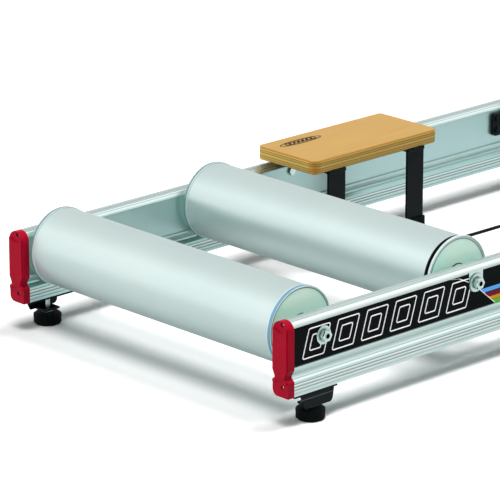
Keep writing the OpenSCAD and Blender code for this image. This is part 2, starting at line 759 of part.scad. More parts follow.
module step_boots() {
    color(rubber) for (x = strap_xs) translate([x, leg_y + strap_t / 2, 0]) difference() {
        translate([-strap_w / 2 - boot_wall, -strap_t / 2 - boot_wall, 0]) linear_extrude(boot_h)
            round_rect(strap_w + 2 * boot_wall, strap_t + 2 * boot_wall, boot_wall);
        translate([-strap_w / 2, -strap_t / 2, boot_floor]) cube([strap_w, strap_t, boot_h]);
    }
}

// Bolts through the lugs and the rail, and screws up into the board
module step_fixings() {
    color(zinc) for (x = strap_xs) {
        translate([x, web_y_in, rail_top - lug_bolt_z]) {
            along_y() cylinder(r = lug_bolt_r, h = lug_y + strap_t - web_y_in + lug_nut_h / 2);
            for (y = [-lug_nut_h, lug_y + strap_t - web_y_in]) translate([0, y, 0]) along_y()
                cylinder(r = lug_bolt_r * 1.9, h = lug_nut_h, $fn = 6);
        }
        for (k = [-1, 1]) translate([x, board_screw_y + k * board_screw_gap / 2, strap_z]) {
            translate([0, 0, -2.2]) cylinder(r = board_screw_r * 1.9, h = 2.2);
            translate([0, 0, -1]) cylinder(r = board_screw_r, h = strap_t + board_screw_in + 1);
        }
    }
}

// Outline of a hinge plate for the side d of the folding line: -1 rear, 1 front
module leaf_outline(d) {
    x0 = d < 0 ? -leaf_gap - leaf_len : leaf_gap;
    z0 = rail_z + leaf_z;
    z1 = z0 + leaf_h;
    translate([fold, 0]) difference() {
        union() {
            translate([x0, z0]) round_rect(leaf_len, leaf_h, leaf_r);
            translate([0, pin_z]) circle(lobe_r);
            polygon([[0, pin_z - lobe_r], [d * leaf_gap, z1 - leaf_r], [d * (leaf_gap + 2 * lobe_r), z1 - 1],
                [d * lobe_r * 0.8, pin_z + lobe_r * 0.6], [0, pin_z]]);
        }
        translate([0, pin_z]) circle(pin_r + (d > 0 ? pin_run : 0));
    }
}

function leaf_screws(d) = [for (u = [leaf_screw_in, leaf_len - leaf_screw_in],
    v = [leaf_screw_in, leaf_h - leaf_screw_in]) [fold + d * (leaf_gap + u), rail_z + leaf_z + v]];

module hinge_leaf(s, d) {
    y_plate = d < 0 ? leaf_rear_y - leaf_t : leaf_front_y - leaf_t;
    color(black) on_side(s) difference() {
        union() {
            plate_xz(y_plate, leaf_t) leaf_outline(d);
            plate_xz(y_plate, web_y_in - y_plate)
                translate([d < 0 ? fold - leaf_gap - leaf_len : fold + leaf_gap, rail_z + leaf_z])
                    round_rect(leaf_len, leaf_h, leaf_r);
        }
        for (p = leaf_screws(d)) translate([p[0], y_plate - 1, p[1]]) along_y()
            cylinder(r = leaf_screw_r + screw_fit, h = web_y_in - y_plate + 2);
    }
}

module hinge_pins() {
    color(zinc) for (s = [-1, 1]) on_side(s) translate([fold, 0, pin_z]) {
        translate([0, leaf_inner_y - 3 - leaf_run, 0]) along_y() cylinder(r = pin_r * 1.7, h = 3);
        translate([0, leaf_inner_y - 1 - leaf_run, 0]) along_y()
            cylinder(r = pin_r, h = leaf_rear_y - leaf_inner_y + leaf_run + 4);
        translate([0, leaf_rear_y, 0]) along_y() cylinder(r = pin_r * 1.55, h = 3);
    }
}

module hinge_screws(d) {
    y_plate = d < 0 ? leaf_rear_y - leaf_t : leaf_front_y - leaf_t;
    color(zinc) for (s = [-1, 1]) on_side(s) for (p = leaf_screws(d)) translate([p[0], y_plate, p[1]]) {
        translate([0, -2.4, 0]) along_y() cylinder(r = leaf_screw_r * 1.9, h = 2.4);
        translate([0, -1, 0]) along_y() cylinder(r = leaf_screw_r, h = web_y_in - y_plate + rail_wall + 4);
    }
}

rear_rail(-1);  // rail_rear_right
rear_rail(1);  // rail_rear_left
front_rail(-1);  // rail_front_right
front_rail(1);  // rail_front_left
end_cap(-1, -1);  // end_cap_rear_right
end_cap(1, -1);  // end_cap_rear_left
end_cap(-1, 1);  // end_cap_front_right
end_cap(1, 1);  // end_cap_front_left
frame_screws(-1);  // frame_screws_rear
frame_screws(1);  // frame_screws_front
foot_bracket(-1, -1);  // foot_bracket_rear_right
foot_bracket(1, -1);  // foot_bracket_rear_left
foot_bracket(-1, 1);  // foot_bracket_front_right
foot_bracket(1, 1);  // foot_bracket_front_left
mid_bracket(-1);  // mid_bracket_right
mid_bracket(1);  // mid_bracket_left
mid_pad(-1);  // mid_pad_right
mid_pad(1);  // mid_pad_left
foot_pad(-1, -1);  // foot_pad_rear_right
foot_pad(1, -1);  // foot_pad_rear_left
foot_pad(-1, 1);  // foot_pad_front_right
foot_pad(1, 1);  // foot_pad_front_left
foot_stud(-1, -1);  // foot_stud_rear_right
foot_stud(1, -1);  // foot_stud_rear_left
foot_stud(-1, 1);  // foot_stud_front_right
foot_stud(1, 1);  // foot_stud_front_left
tube(rear_ax, drum_right, rim_w);  // tube_rear
tube(drive_ax, belt_right, belt_rim_w);  // tube_drive
tube(front_ax, belt_right, belt_rim_w);  // tube_front
cup_right(rear_ax);  // cup_rear_right
cup_left(rear_ax);  // cup_rear_left
pulley(drive_ax);  // pulley_drive_right
cup_left(drive_ax);  // cup_drive_left
pulley(front_ax);  // pulley_front_right
cup_left(front_ax);  // cup_front_left
bearings(rear_ax, drum_right);  // bearings_rear
bearings(drive_ax, belt_right);  // bearings_drive
bearings(front_ax, belt_right);  // bearings_front
axle(rear_ax, 0);  // axle_rear
axle(drive_ax, keeper_t);  // axle_drive
axle(front_ax, 0);  // axle_front
axle_fixings(rear_ax, drum_right, 0);  // axle_fixings_rear
axle_fixings(drive_ax, belt_right, keeper_t);  // axle_fixings_drive
axle_fixings(front_ax, belt_right, 0);  // axle_fixings_front
keeper_plates();
belt();
step_board();
step_strap(strap_xs[0]);  // step_strap_rear
step_strap(strap_xs[1]);  // step_strap_front
step_boots();
step_fixings();
hinge_leaf(-1, -1);  // hinge_rear_right
hinge_leaf(1, -1);  // hinge_rear_left
hinge_leaf(-1, 1);  // hinge_front_right
hinge_leaf(1, 1);  // hinge_front_left
hinge_pins();
hinge_screws(-1);  // hinge_screws_rear
hinge_screws(1);  // hinge_screws_front
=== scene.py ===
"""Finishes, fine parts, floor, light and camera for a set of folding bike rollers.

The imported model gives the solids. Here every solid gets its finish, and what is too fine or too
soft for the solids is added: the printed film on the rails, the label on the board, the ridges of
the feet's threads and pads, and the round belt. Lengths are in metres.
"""

import logging
import math
from dataclasses import dataclass, field, replace
from enum import Enum
from typing import Any, Iterable, Optional, Sequence

import bmesh
import bpy
from mathutils import Matrix, Vector


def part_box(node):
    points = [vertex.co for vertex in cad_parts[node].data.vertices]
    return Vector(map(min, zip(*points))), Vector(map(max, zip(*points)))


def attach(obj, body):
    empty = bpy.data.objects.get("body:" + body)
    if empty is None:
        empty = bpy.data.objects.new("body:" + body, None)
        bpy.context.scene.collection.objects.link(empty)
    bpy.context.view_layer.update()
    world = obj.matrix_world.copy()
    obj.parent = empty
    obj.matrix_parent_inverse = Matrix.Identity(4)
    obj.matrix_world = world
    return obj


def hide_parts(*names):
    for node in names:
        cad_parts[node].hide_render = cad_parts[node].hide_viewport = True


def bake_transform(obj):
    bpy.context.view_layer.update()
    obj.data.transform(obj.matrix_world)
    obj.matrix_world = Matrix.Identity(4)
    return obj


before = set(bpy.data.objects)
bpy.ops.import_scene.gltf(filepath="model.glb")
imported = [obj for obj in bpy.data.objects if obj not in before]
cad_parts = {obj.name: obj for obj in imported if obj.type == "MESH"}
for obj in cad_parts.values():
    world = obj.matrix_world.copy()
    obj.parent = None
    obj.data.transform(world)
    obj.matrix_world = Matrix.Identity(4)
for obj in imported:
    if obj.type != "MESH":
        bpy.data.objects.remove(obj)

LOG = logging.getLogger("rollers")
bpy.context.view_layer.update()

REAR_BODY = "rear_frame"
ENDS = ("rear", "front")
# X and Z of each drum's axis
AXES = {"rear": (-0.621, 0.1045), "drive": (-0.361, 0.1099), "front": (0.549, 0.1045)}
# Half width of a thin painted line, and where it has faded out
LINE_CORE, LINE_EDGE = 0.0003, 0.0009

Colour = tuple[float, float, float, float]
Point = tuple[float, float, float]
Pair = tuple[float, float]
Values = dict[Any, Any]
Tree = bpy.types.NodeTree
Mesh = bpy.types.Mesh
Material = bpy.types.Material


def paint(*parts: int) -> Colour:
    """Returns the linear colour of red, green and blue from 0 to 255, with an alpha of 1."""
    shares = [part / 255 for part in parts]
    linear = [x / 12.92 if x <= 0.04045 else ((x + 0.055) / 1.055) ** 2.4 for x in shares]
    return (*linear, 1.0)


def sizes(**values: Any) -> Any:
    """Returns a dataclass field that holds sizes by name."""
    return field(default_factory=lambda: values)


def add_object(name: str, data: Any) -> bpy.types.Object:
    """Makes an object of a mesh, lamp or camera and links it to the scene.

    Args:
        name: The object's name.
        data: What it shows.

    Returns:
        The object.
    """
    made = bpy.data.objects.new(name, data)
    bpy.context.scene.collection.objects.link(made)
    return made


class Side(Enum):
    """The two long sides of the rollers, with the sign of their Y."""

    LEFT = 1
    RIGHT = -1

    @property
    def word(self) -> str:
        """Returns the side's word in the solids' names."""
        return self.name.lower()


class Ink(Enum):
    """Colours of the printed film on the rails."""

    BLACK = paint(5, 10, 13)
    WHITE = paint(255, 255, 255)
    BLUE = paint(96, 176, 252)
    CLARET = paint(108, 20, 46)
    AMBER = paint(226, 146, 34)
    GREEN = paint(92, 190, 50)


class Graph:
    """Adds nodes to one node tree and joins them.

    Attributes:
        tree: The node tree that is built.
    """

    def __init__(self, tree: Tree) -> None:
        """Keeps the tree."""
        self.tree = tree

    def node(self, kind: str, **settings: Any) -> bpy.types.Node:
        """Adds a node.

        Args:
            kind: The node's type name.
            **settings: Properties to set on it.

        Returns:
            The new node.
        """
        made = self.tree.nodes.new(kind)
        for name, value in settings.items():
            setattr(made, name, value)
        return made

    def fill(self, node: bpy.types.Node, inputs: Values) -> Any:
        """Joins a node's inputs to sockets, or sets their values.

        Args:
            node: The node.
            inputs: Output sockets or plain values by input name or number.

        Returns:
            The node's output sockets.
        """
        for key, value in inputs.items():
            if isinstance(value, bpy.types.NodeSocket):
                self.tree.links.new(value, node.inputs[key])
            else:
                node.inputs[key].default_value = value
        return node.outputs

    def run(self, kind: str, inputs: Values, output: Any = 0, **settings: Any) -> Any:
        """Adds a node, fills its inputs and returns one output, by name or number."""
        return self.fill(self.node(kind, **settings), inputs)[output]

    def group(self, tree: Tree, **inputs: Any) -> Any:
        """Places a shared group, fills its inputs and returns its outputs by name."""
        return self.fill(self.node("ShaderNodeGroup", node_tree=tree), inputs)

    def math(self, operation: str, *values: Any) -> Any:
        """Returns the result of a math operation."""
        return self.run("ShaderNodeMath", dict(enumerate(values)), operation=operation)

    def vector(self, operation: str, *values: Any, output: Any = 0) -> Any:
        """Returns one output of a vector operation."""
        inputs = dict(enumerate(values))
        return self.run("ShaderNodeVectorMath", inputs, output, operation=operation)

    def times(self, first: Any, *others: Any) -> Any:
        """Returns the product of two or more values."""
        for other in others:
            first = self.math("MULTIPLY", first, other)
        return first

    def weigh(self, first: Any, share: float, second: Any, other: float) -> Any:
        """Returns the sum of two values, each times its share."""
        return self.math("MULTIPLY_ADD", first, share, self.times(second, other))

    def gap(self, value: Any, place: Any) -> Any:
        """Returns how far a value is from a place."""
        return self.math("ABSOLUTE", self.math("SUBTRACT", value, place))

    def distance(self, place: Any, centre: Any, axes: Point) -> Any:
        """Returns how far a place is from a centre, along the axes that are given as 1."""
        away = self.vector("MULTIPLY", self.vector("SUBTRACT", place, centre), axes)
        return self.vector("LENGTH", away, output="Value")

    def where(self, source: str = "Object") -> Any:
        """Returns the Object or Normal coordinate."""
        return self.node("ShaderNodeTexCoord").outputs[source]

    def split(self, source: str = "Object") -> tuple[Any, ...]:
        """Returns the X, Y and Z of the Object or Normal coordinate."""
        parts = self.node("ShaderNodeSeparateXYZ")
        return tuple(self.fill(parts, {0: self.where(source)}))

    def span(self, value: Any, low: Any, high: Any, to_low: Any = 0.0, to_high: Any = 1.0) -> Any:
        """Maps the range from low to high to another one and stays within it."""
        inputs = {0: value, 1: low, 2: high, 3: to_low, 4: to_high}
        return self.run("ShaderNodeMapRange", inputs, clamp=True)

    def around(self, value: Any, middle: float, below: float, above: float) -> Any:
        """Maps 0 and 1 to a little below and a little above a middle value."""
        return self.span(value, 0.0, 1.0, middle - below, middle + above)

    def fall(self, value: Any, low: Any, high: Any) -> Any:
        """Returns a mask that falls from 1 at low to 0 at high."""
        return self.span(value, low, high, 1.0, 0.0)

    def band(self, value: Any, low: float, high: float, soft: float = 0.0002) -> Any:
        """Returns a mask that is 1 between two values and fades out over soft beyond them."""
        return self.times(self.span(value, low - soft, low), self.fall(value, high, high + soft))

    def lines(self, value: Any, places: Iterable[float]) -> Any:
        """Builds a mask of thin lines.

        Args:
            value: The socket of the coordinate across the lines.
            places: Where the lines are.

        Returns:
            The mask's socket.
        """
        nearest: Any = 1.0
        for place in places:
            nearest = self.math("MINIMUM", nearest, self.gap(value, place))
        return self.fall(nearest, LINE_CORE, LINE_EDGE)

    def mix(self, factor: Any, first: Any, second: Any) -> Any:
        """Returns a mix of two colours, which is the second one at a factor of 1."""
        return self.run("ShaderNodeMix", {0: factor, 6: first, 7: second}, 2, data_type="RGBA")

    def noise(self, place: Any, scale: Any, detail: float, rough: float) -> Any:
        """Returns noise between 0 and 1."""
        inputs = {"Vector": place, "Scale": scale, "Detail": detail, "Roughness": rough}
        return self.run("ShaderNodeTexNoise", inputs)

    def bump(self, height: Any, depth: float, strength: float) -> Any:
        """Returns the normal of a height between 0 and 1, where 1 stands for a depth."""
        inputs = {"Strength": strength, "Distance": depth, "Height": height}
        return self.run("ShaderNodeBump", inputs, "Normal")


class Group(Graph):
    """A node group with named inputs and outputs.

    Attributes:
        kinds: The socket type for each type of default.
        given: The sockets of its inputs by name.
    """

    kinds = {int: "Int", float: "Float", tuple: "Vector"}

    def __init__(self, name: str, kind: str = "Shader", **inputs: Any) -> None:
        """Makes the group and its inputs.

        Args:
            name: The group's name.
            kind: Shader or Geometry.
            **inputs: The inputs' defaults, or None for one that is named after its type.
        """
        super().__init__(bpy.data.node_groups.new(name, f"{kind}NodeTree"))
        for label, value in inputs.items():
            made = self.socket(label, "INPUT", self.kinds.get(type(value), label))
            if value is not None:
                made.default_value = value
        self.given = self.node("NodeGroupInput").outputs

    def socket(self, label: str, way: str, kind: str) -> Any:
        """Adds an input or output to the group and returns it."""
        kind = f"NodeSocket{kind}"
        return self.tree.interface.new_socket(label, in_out=way, socket_type=kind)

    def end(self, kind: str = "Float", **outputs: Any) -> Tree:
        """Gives the group its outputs.

        Args:
            kind: Their type.
            **outputs: The sockets that feed them, by name.

        Returns:
            The group's tree.
        """
        for label in outputs:
            self.socket(label, "OUTPUT", kind)
        self.fill(self.node("NodeGroupOutput"), outputs)
        return self.tree


def grain_group() -> Tree:
    """Builds fine lines that run along the direction that is stretched least."""
    group = Group("drawn_grain", Stretch=(1, 1, 1), Fineness=1.0)
    stretched = group.vector("MULTIPLY", group.where(), group.given["Stretch"])
    lines = group.noise(stretched, group.given["Fineness"], 3.0, 0.6)
    return group.end(Grain=group.span(lines, 0.3, 0.7))


def patches_group() -> Tree:
    """Builds large soft patches, as handling and oxide leave them."""
    group = Group("soft_patches", Size=0.05)
    scale = group.math("DIVIDE", 1.0, group.given["Size"])
    cloud = group.noise(group.where(), scale, 3.0, 0.55)
    return group.end(Patch=group.span(cloud, 0.32, 0.68))


def wear_and_glint_group() -> Tree:
    """Builds a mask of rubbed edges, which also carry painted glints, from a rounded normal, broken
    up by noise.
    """
    group = Group("rubbed_edges", Width=0.001, Amount=1.0)
    rounded = group.run("ShaderNodeBevel", {"Radius": group.given["Width"]}, samples=4)
    normal = group.node("ShaderNodeNewGeometry").outputs["Normal"]
    match = group.vector("DOT_PRODUCT", rounded, normal, output="Value")
    edge = group.span(group.math("SUBTRACT", 1.0, match), 0.02, 0.2)
    broken = group.span(group.noise(group.where(), 260.0, 4.0, 0.7), 0.38, 0.62)
    return group.end(Wear=group.times(edge, broken, group.given["Amount"]))


def rings_group() -> Tree:
    """Builds turned rings round an axis along Y, and the distance from that axis."""
    group = Group("turned_rings", Centre=(0, 0, 0), Pitch=0.001)
    distance = group.distance(group.where(), group.given["Centre"], (1, 0, 1))
    turns = group.math("DIVIDE", distance, group.given["Pitch"])
    wobble = group.noise(group.run("ShaderNodeCombineXYZ", {0: turns}), 1.0, 3.0, 0.7)
    return group.end(Rings=group.span(wobble, 0.25, 0.75), Distance=distance)


def crevice_shade_group() -> Tree:
    """Builds a mask of painted shade in grooves, corners and gaps that little light reaches."""
    group = Group("dark_crevices", Reach=0.003, Amount=1.0)
    reach = {"Distance": group.given["Reach"]}
    hidden = group.fall(group.run("ShaderNodeAmbientOcclusion", reach, "AO", samples=6), 0.35, 0.9)
    return group.end(Crevice=group.times(hidden, group.given["Amount"]))


@dataclass
class Effects:
    """The shader node groups that several finishes share."""

    grain: Tree = field(default_factory=grain_group)
    patches: Tree = field(default_factory=patches_group)
    wear: Tree = field(default_factory=wear_and_glint_group)
    rings: Tree = field(default_factory=rings_group)
    crevice: Tree = field(default_factory=crevice_shade_group)


@dataclass(frozen=True)
class Finish:
    """What a surface is made of.

    Attributes:
        name: The finish's name.
        colour: Its main colour.
        roughness: Its mean roughness.
        metallic: How metallic it is.
        shine: Its specular level, where 0.5 is common plastic.
    """

    name: str
    colour: Colour
    roughness: float
    metallic: float = 0.0
    shine: float = 0.5

    def build(self, effects: Effects) -> Material:
        """Makes the material.

        Args:
            effects: The shared node groups.

        Returns:
            The finished material.
        """
        material = bpy.data.materials.new(self.name)
        material.use_nodes = True
        graph = Graph(material.node_tree)
        surface = material.node_tree.nodes["Principled BSDF"]
        graph.fill(surface, {"Metallic": self.metallic, "Specular IOR Level": self.shine})
        graph.fill(surface, self.dress(graph, effects))
        return material

    def dress(self, graph: Graph, effects: Effects) -> Values:
        """Returns what the Principled node's inputs are fed with, by name."""
        return {"Base Color": self.colour, "Roughness": self.roughness}


@dataclass(frozen=True)
class DrawnMetal(Finish):
    """Anodised, drawn or plated metal with a direction in its grain.

    Attributes:
        second: Colour of the patches.
        stretch: How fast the grain changes along each axis, per metre.
        spread: How much the roughness varies.
        depth: Depth of the grain.
        patch: Size of the patches.
        crevice: How far apart faces darken each other with painted shade, and how much.
        gap_colour: Colour of that painted shade.
    """

    second: Colour = paint(226, 242, 234)
    stretch: Point = (420.0, 420.0, 420.0)
    spread: float = 0.05
    depth: float = 0.00001
    patch: float = 0.015
    crevice: Pair = (0.0, 0.0)
    gap_colour: Colour = paint(58, 74, 78)

    def dress(self, graph: Graph, effects: Effects) -> Values:
        """Adds grain, patches and painted shade in crevices to colour, roughness and normal."""
        grain = graph.group(effects.grain, Stretch=self.stretch)["Grain"]
        patch = graph.group(effects.patches, Size=self.patch)["Patch"]
        colour = graph.mix(graph.weigh(grain, 0.25, patch, 0.6), self.colour, self.second)
        colour = self.mark(graph, colour)
        reach, amount = self.crevice
        if amount:
            crevice = graph.group(effects.crevice, Reach=reach, Amount=amount)["Crevice"]
            # Painted shade in grooves, corners and gaps
            colour = graph.mix(crevice, colour, self.gap_colour)
        tone = graph.weigh(grain, 0.5, patch, 0.5)
        return {"Base Color": colour, "Normal": graph.bump(grain, self.depth, 0.6),
                "Roughness": graph.around(tone, self.roughness, self.spread, self.spread)}

    def mark(self, graph: Graph, colour: Any) -> Any:
        """Returns the colour with the lines and fields that a finish has."""
        return colour


@dataclass(frozen=True)
class RailMetal(DrawnMetal):
    """Drawn metal with the painted reflections, painted shade and fine grooves of the rails.

    Attributes:
        flat: Colour of the flat faces that look towards the middle plane, a painted dark
            reflection.
        slope: Colour of the lower faces that tilt up towards it, a painted dark reflection.
        top: Height that those faces stay under.
        grooves: Heights of the fine grooves in the side faces.
        groove_colours: Colours of the painted shade in a groove and of the painted highlight on the
            lip under it.
        lip: How far the lip lies below its groove.
        beads: Y of the fine grooves in the top bead.
        bead_groove_shade: Colour of the painted shade in them.
        flash: Lowest and highest point of the painted highlight on the flat below the bead.
        flash_colour: Its colour.
    """

    flat: Colour = paint(198, 226, 225)
    slope: Colour = paint(154, 188, 186)
    top: float = 0.09
    grooves: tuple[float, ...] = (0.0469, 0.0507, 0.0545)
    groove_colours: tuple[Colour, Colour] = (paint(126, 146, 144), paint(254, 255, 255))
    lip: float = 0.0014
    beads: tuple[float, ...] = (0.2298, 0.2343, 0.2485, 0.2530)
    bead_groove_shade: Colour = paint(140, 158, 158)
    flash: Pair = (0.1264, 0.1284)
    flash_colour: Colour = paint(250, 252, 240)

    def mark(self, graph: Graph, colour: Any) -> Any:
        """Paints dark reflections on inner faces, shade in grooves and highlights on lips and a
        flat.
        """
        _, y, z = graph.split()
        _, sideways, up = graph.split("Normal")
        outward = graph.times(sideways, graph.math("SIGN", y))
        # Painted dark reflection on faces that look towards the middle plane
        colour = graph.mix(graph.fall(outward, -0.98, -0.8), colour, self.flat)
        tilted = graph.times(graph.span(up, 0.1, 0.5), graph.fall(outward, -0.6, -0.2))
        below = graph.fall(z, self.top, self.top + 0.01)
        colour = graph.mix(graph.times(tilted, below), colour, self.slope)
        # Painted shade in each groove and painted highlight on the lip under it
        upright = graph.span(graph.math("ABSOLUTE", sideways), 0.7, 0.9)
        for shift, shade in zip((0.0, self.lip), self.groove_colours):
            mask = graph.lines(z, [groove - shift for groove in self.grooves])
            colour = graph.mix(graph.times(mask, upright, 0.9), colour, shade)
        # Painted shade in the grooves of the top bead
        mask = graph.lines(graph.math("ABSOLUTE", y), self.beads)
        mask = graph.times(mask, graph.span(up, 0.4, 0.6), 0.7)
        colour = graph.mix(mask, colour, self.bead_groove_shade)
        # Painted highlight on the flat below the bead
        mask = graph.band(z, *self.flash, soft=0.0006)
        mask = graph.times(mask, graph.span(outward, 0.2, 0.3), 0.5)
        return graph.mix(mask, colour, self.flash_colour)


@dataclass(frozen=True)
class SpunSteel(Finish):
    """Plated steel with turned rings round an axis along Y.

    Attributes:
        second: Colour of the patches.
        centre: A point on the axis.
        pitch: Spacing of the rings.
        shade: Inner and outer radius of a dark ring.
        dark: Its colour.
        rim: Radius of the rim, which has a painted highlight.
        rim_highlight_and_line: Colours of the painted highlight on the rim and of the dark line
            inside it.
        groove: Start and end along Y of a belt groove that is coloured dark and not metallic.
        lips: Y of the rims' edges, each with a painted dark reflection beside it.
        lip_reflection_colours: Colours of that painted reflection on the right and on the left.
        cut: How strongly the rings stand out.
        glow: Share of its own colour that the face inside the rim gives off as painted light.
    """

    second: Colour = paint(236, 248, 232)
    centre: Point = (0.0, 0.0, 0.0)
    pitch: float = 0.0008
    shade: Pair = (0.0160, 0.0171)
    dark: Colour = paint(30, 28, 24)
    rim: float = 1.0
    rim_highlight_and_line: tuple[Colour, Colour] = (paint(226, 240, 242), paint(40, 66, 74))
    groove: Optional[Pair] = None
    lips: tuple[float, ...] = ()
    lip_reflection_colours: tuple[Colour, Colour] = (paint(92, 160, 196), paint(112, 150, 156))
    cut: float = 0.5
    glow: float = 0.0

    def dress(self, graph: Graph, effects: Effects) -> Values:
        """Adds rings, patches, the painted rim highlight and lip reflections, the dark places and
        the painted glow.
        """
        rings = graph.group(effects.rings, Centre=self.centre, Pitch=self.pitch)
        turned, distance = rings["Rings"], rings["Distance"]
        patch = graph.group(effects.patches, Size=0.03)["Patch"]
        colour = graph.mix(graph.weigh(turned, 0.3, patch, 0.6), self.colour, self.second)
        rim, (bright, line) = self.rim, self.rim_highlight_and_line
        # Painted highlight on the rim, and a dark line inside it
        colour = graph.mix(graph.span(distance, rim - 0.0006, rim), colour, bright)
        outline = graph.band(distance, rim - 0.0017, rim - 0.0008)
        colour = graph.mix(graph.times(outline, 0.75), colour, line)
        across = graph.split()[1]
        # Painted dark reflection beside each rim edge
        for lip in self.lips:
            inward = graph.times(graph.math("SUBTRACT", lip, across), math.copysign(1.0, lip))
            band = graph.times(graph.span(inward, -0.0001, 0.0003),
                               graph.fall(inward, 0.0042, 0.0054),
                               graph.span(distance, rim + 0.0012, rim + 0.0015), 0.9)
            colour = graph.mix(band, colour, self.lip_reflection_colours[lip > 0])
        masks = [graph.band(distance, *self.shade)]
        if self.groove:
            masks.append(graph.band(across, *self.groove))
        for mask in masks:
            colour = graph.mix(mask, colour, self.dark)
        fed = {"Base Color": colour,
               "Metallic": graph.span(masks[-1], 0.0, 1.0, self.metallic, 0.0),
               "Roughness": graph.around(turned, self.roughness, 0.06, 0.08),
               "Normal": graph.bump(turned, 0.00002, self.cut)}
        # Painted light: the face inside the rim glows
        if self.glow:
            inside = graph.fall(distance, rim - 0.0026, rim - 0.0018)
            fed["Emission Color"] = graph.mix(inside, paint(0, 0, 0), colour)
            fed["Emission Strength"] = self.glow
        return fed


@dataclass(frozen=True)
class Coated(Finish):
    """Powder coat, moulded plastic or rubber with a fine skin and rubbed edges that carry painted
    glints.

    Attributes:
        worn: Colour of rubbed edges, which also stands for painted glints on them.
        wear: How much of the edges is rubbed and painted with glints.
        edge: Width of the rubbed edges.
        skin: Fineness of the skin's grain, per metre.
        depth: Depth of that grain.
        bend: Height of a painted highlight line along a bend, or 0.
        bend_colour: Colour of that painted highlight.
    """

    worn: Colour = paint(118, 130, 136)
    wear: float = 0.4
    edge: float = 0.0008
    skin: float = 1500.0
    depth: float = 0.00003
    bend: float = 0.0
    bend_colour: Colour = paint(96, 110, 114)

    def dress(self, graph: Graph, effects: Effects) -> Values:
        """Adds the skin, rubbed edges with painted glints and a painted highlight along a bend."""
        skin = graph.noise(graph.where(), self.skin, 2.0, 0.6)
        patch = graph.group(effects.patches, Size=0.04)["Patch"]
        wear = graph.group(effects.wear, Width=self.edge, Amount=self.wear)["Wear"]
        deep = tuple(part * 0.8 for part in self.colour[:3]) + (1.0,)
        colour = graph.mix(graph.times(patch, 0.7), self.colour, deep)
        # Rubbed edges, lighter than the coat: partly real rubbing, partly painted glints
        colour = graph.mix(wear, colour, self.worn)
        # Painted highlight: a light line along the bend
        if self.bend:
            painted_bend_highlight = graph.times(graph.lines(graph.split()[2], [self.bend]), 0.8)
            colour = graph.mix(painted_bend_highlight, colour, self.bend_colour)
        rough = graph.span(skin, 0.2, 0.8, self.roughness - 0.05, self.roughness + 0.06)
        return {"Base Color": colour, "Roughness": rough,
                "Normal": graph.bump(skin, self.depth, 0.7)}


@dataclass(frozen=True)
class BirchPly(Finish):
    """Varnished birch plywood: a figured face veneer, and plies that show at the edges.

    Attributes:
        base: Height of the board's underside.
        ply: Thickness of one ply.
        pale: Colour of the plies that run along the board.
        dark: Colour of the plies that show end grain.
        glue: Colour of the glue lines.
        burn: X and Y of a scorched corner.
        burn_colour: Its colour.
        arris: Colour of the rounded edge.
    """

    base: float = 0.1375
    ply: float = 0.0036
    pale: Colour = paint(240, 204, 114)
    dark: Colour = paint(226, 186, 92)
    glue: Colour = paint(150, 100, 14)
    burn: Pair = (-0.254, 0.140)
    burn_colour: Colour = paint(172, 100, 10)
    arris: Colour = paint(176, 122, 46)

    def dress(self, graph: Graph, effects: Effects) -> Values:
        """Adds the plies by height, the grain along each ply and the varnish."""
        place, height = graph.where(), graph.split()[2]
        level = graph.math("DIVIDE", graph.math("SUBTRACT", height, self.base), self.ply)
        across = graph.math("MODULO", graph.math("FLOOR", level), 2.0)
        seam = graph.span(graph.gap(graph.math("FRACT", level), 0.5), 0.32, 0.44)
        along, ends = (graph.group(effects.grain, Stretch=stretch)["Grain"]
                       for stretch in ((9.0, 330.0, 120.0), (700.0, 700.0, 900.0)))
        bent = graph.noise(graph.vector("MULTIPLY", place, (2.2, 14.0, 20.0)), 1.0, 3.0, 0.5)
        figure = graph.gap(graph.math("FRACT", graph.times(bent, 9.0)), 0.5)
        face = graph.mix(graph.times(along, 0.3), self.colour, self.pale)
        face = graph.mix(graph.times(graph.span(figure, 0.3, 0.5), 0.07), face, self.dark)
        end = graph.mix(graph.times(ends, 0.5), self.dark, self.colour)
        edge = graph.mix(across, self.pale, end)
        edge = graph.mix(graph.times(seam, 0.75), edge, self.glue)
        away = graph.distance(place, (*self.burn, 0.0), (1, 1, 0))
        scorch = graph.times(graph.fall(away, 0.004, 0.014), 0.7)
        edge = graph.mix(scorch, edge, self.burn_colour)
        up = graph.math("ABSOLUTE", graph.split("Normal")[2])
        edge = graph.mix(graph.times(graph.span(up, 0.25, 0.45), 0.9), edge, self.arris)
        return {"Base Color": graph.mix(graph.span(up, 0.96, 0.995), edge, face),
                "Roughness": graph.around(along, self.roughness, 0.05, 0.07),
                "Coat Weight": 0.1, "Coat Roughness": 0.25,
                "Normal": graph.bump(along, 0.00003, 0.5)}


@dataclass(frozen=True)
class Film(Finish):
    """Printed vinyl film with a slight orange peel and faint rub marks.

    Attributes:
        glow: Share of its own colour that an ink gives off as painted light.
        rubbed: The colour of the rub marks.
    """

    glow: float = 0.0
    rubbed: Colour = paint(150, 156, 158)

    def dress(self, graph: Graph, effects: Effects) -> Values:
        """Adds rub marks to the colour and a fine peel to the normal."""
        marks = graph.group(effects.grain, Stretch=(20.0, 20.0, 700.0))["Grain"]
        patch = graph.group(effects.patches, Size=0.06)["Patch"]
        peel = graph.noise(graph.where(), 420.0, 2.0, 0.5)
        rub = graph.times(marks, patch, 0.03)
        # Inks with a glow give off painted light
        return {"Base Color": graph.mix(rub, self.colour, self.rubbed),
                "Roughness": graph.around(patch, self.roughness, 0.04, 0.08),
                "Emission Color": self.colour, "Emission Strength": self.glow,
                "Normal": graph.bump(peel, 0.00003, 0.5)}


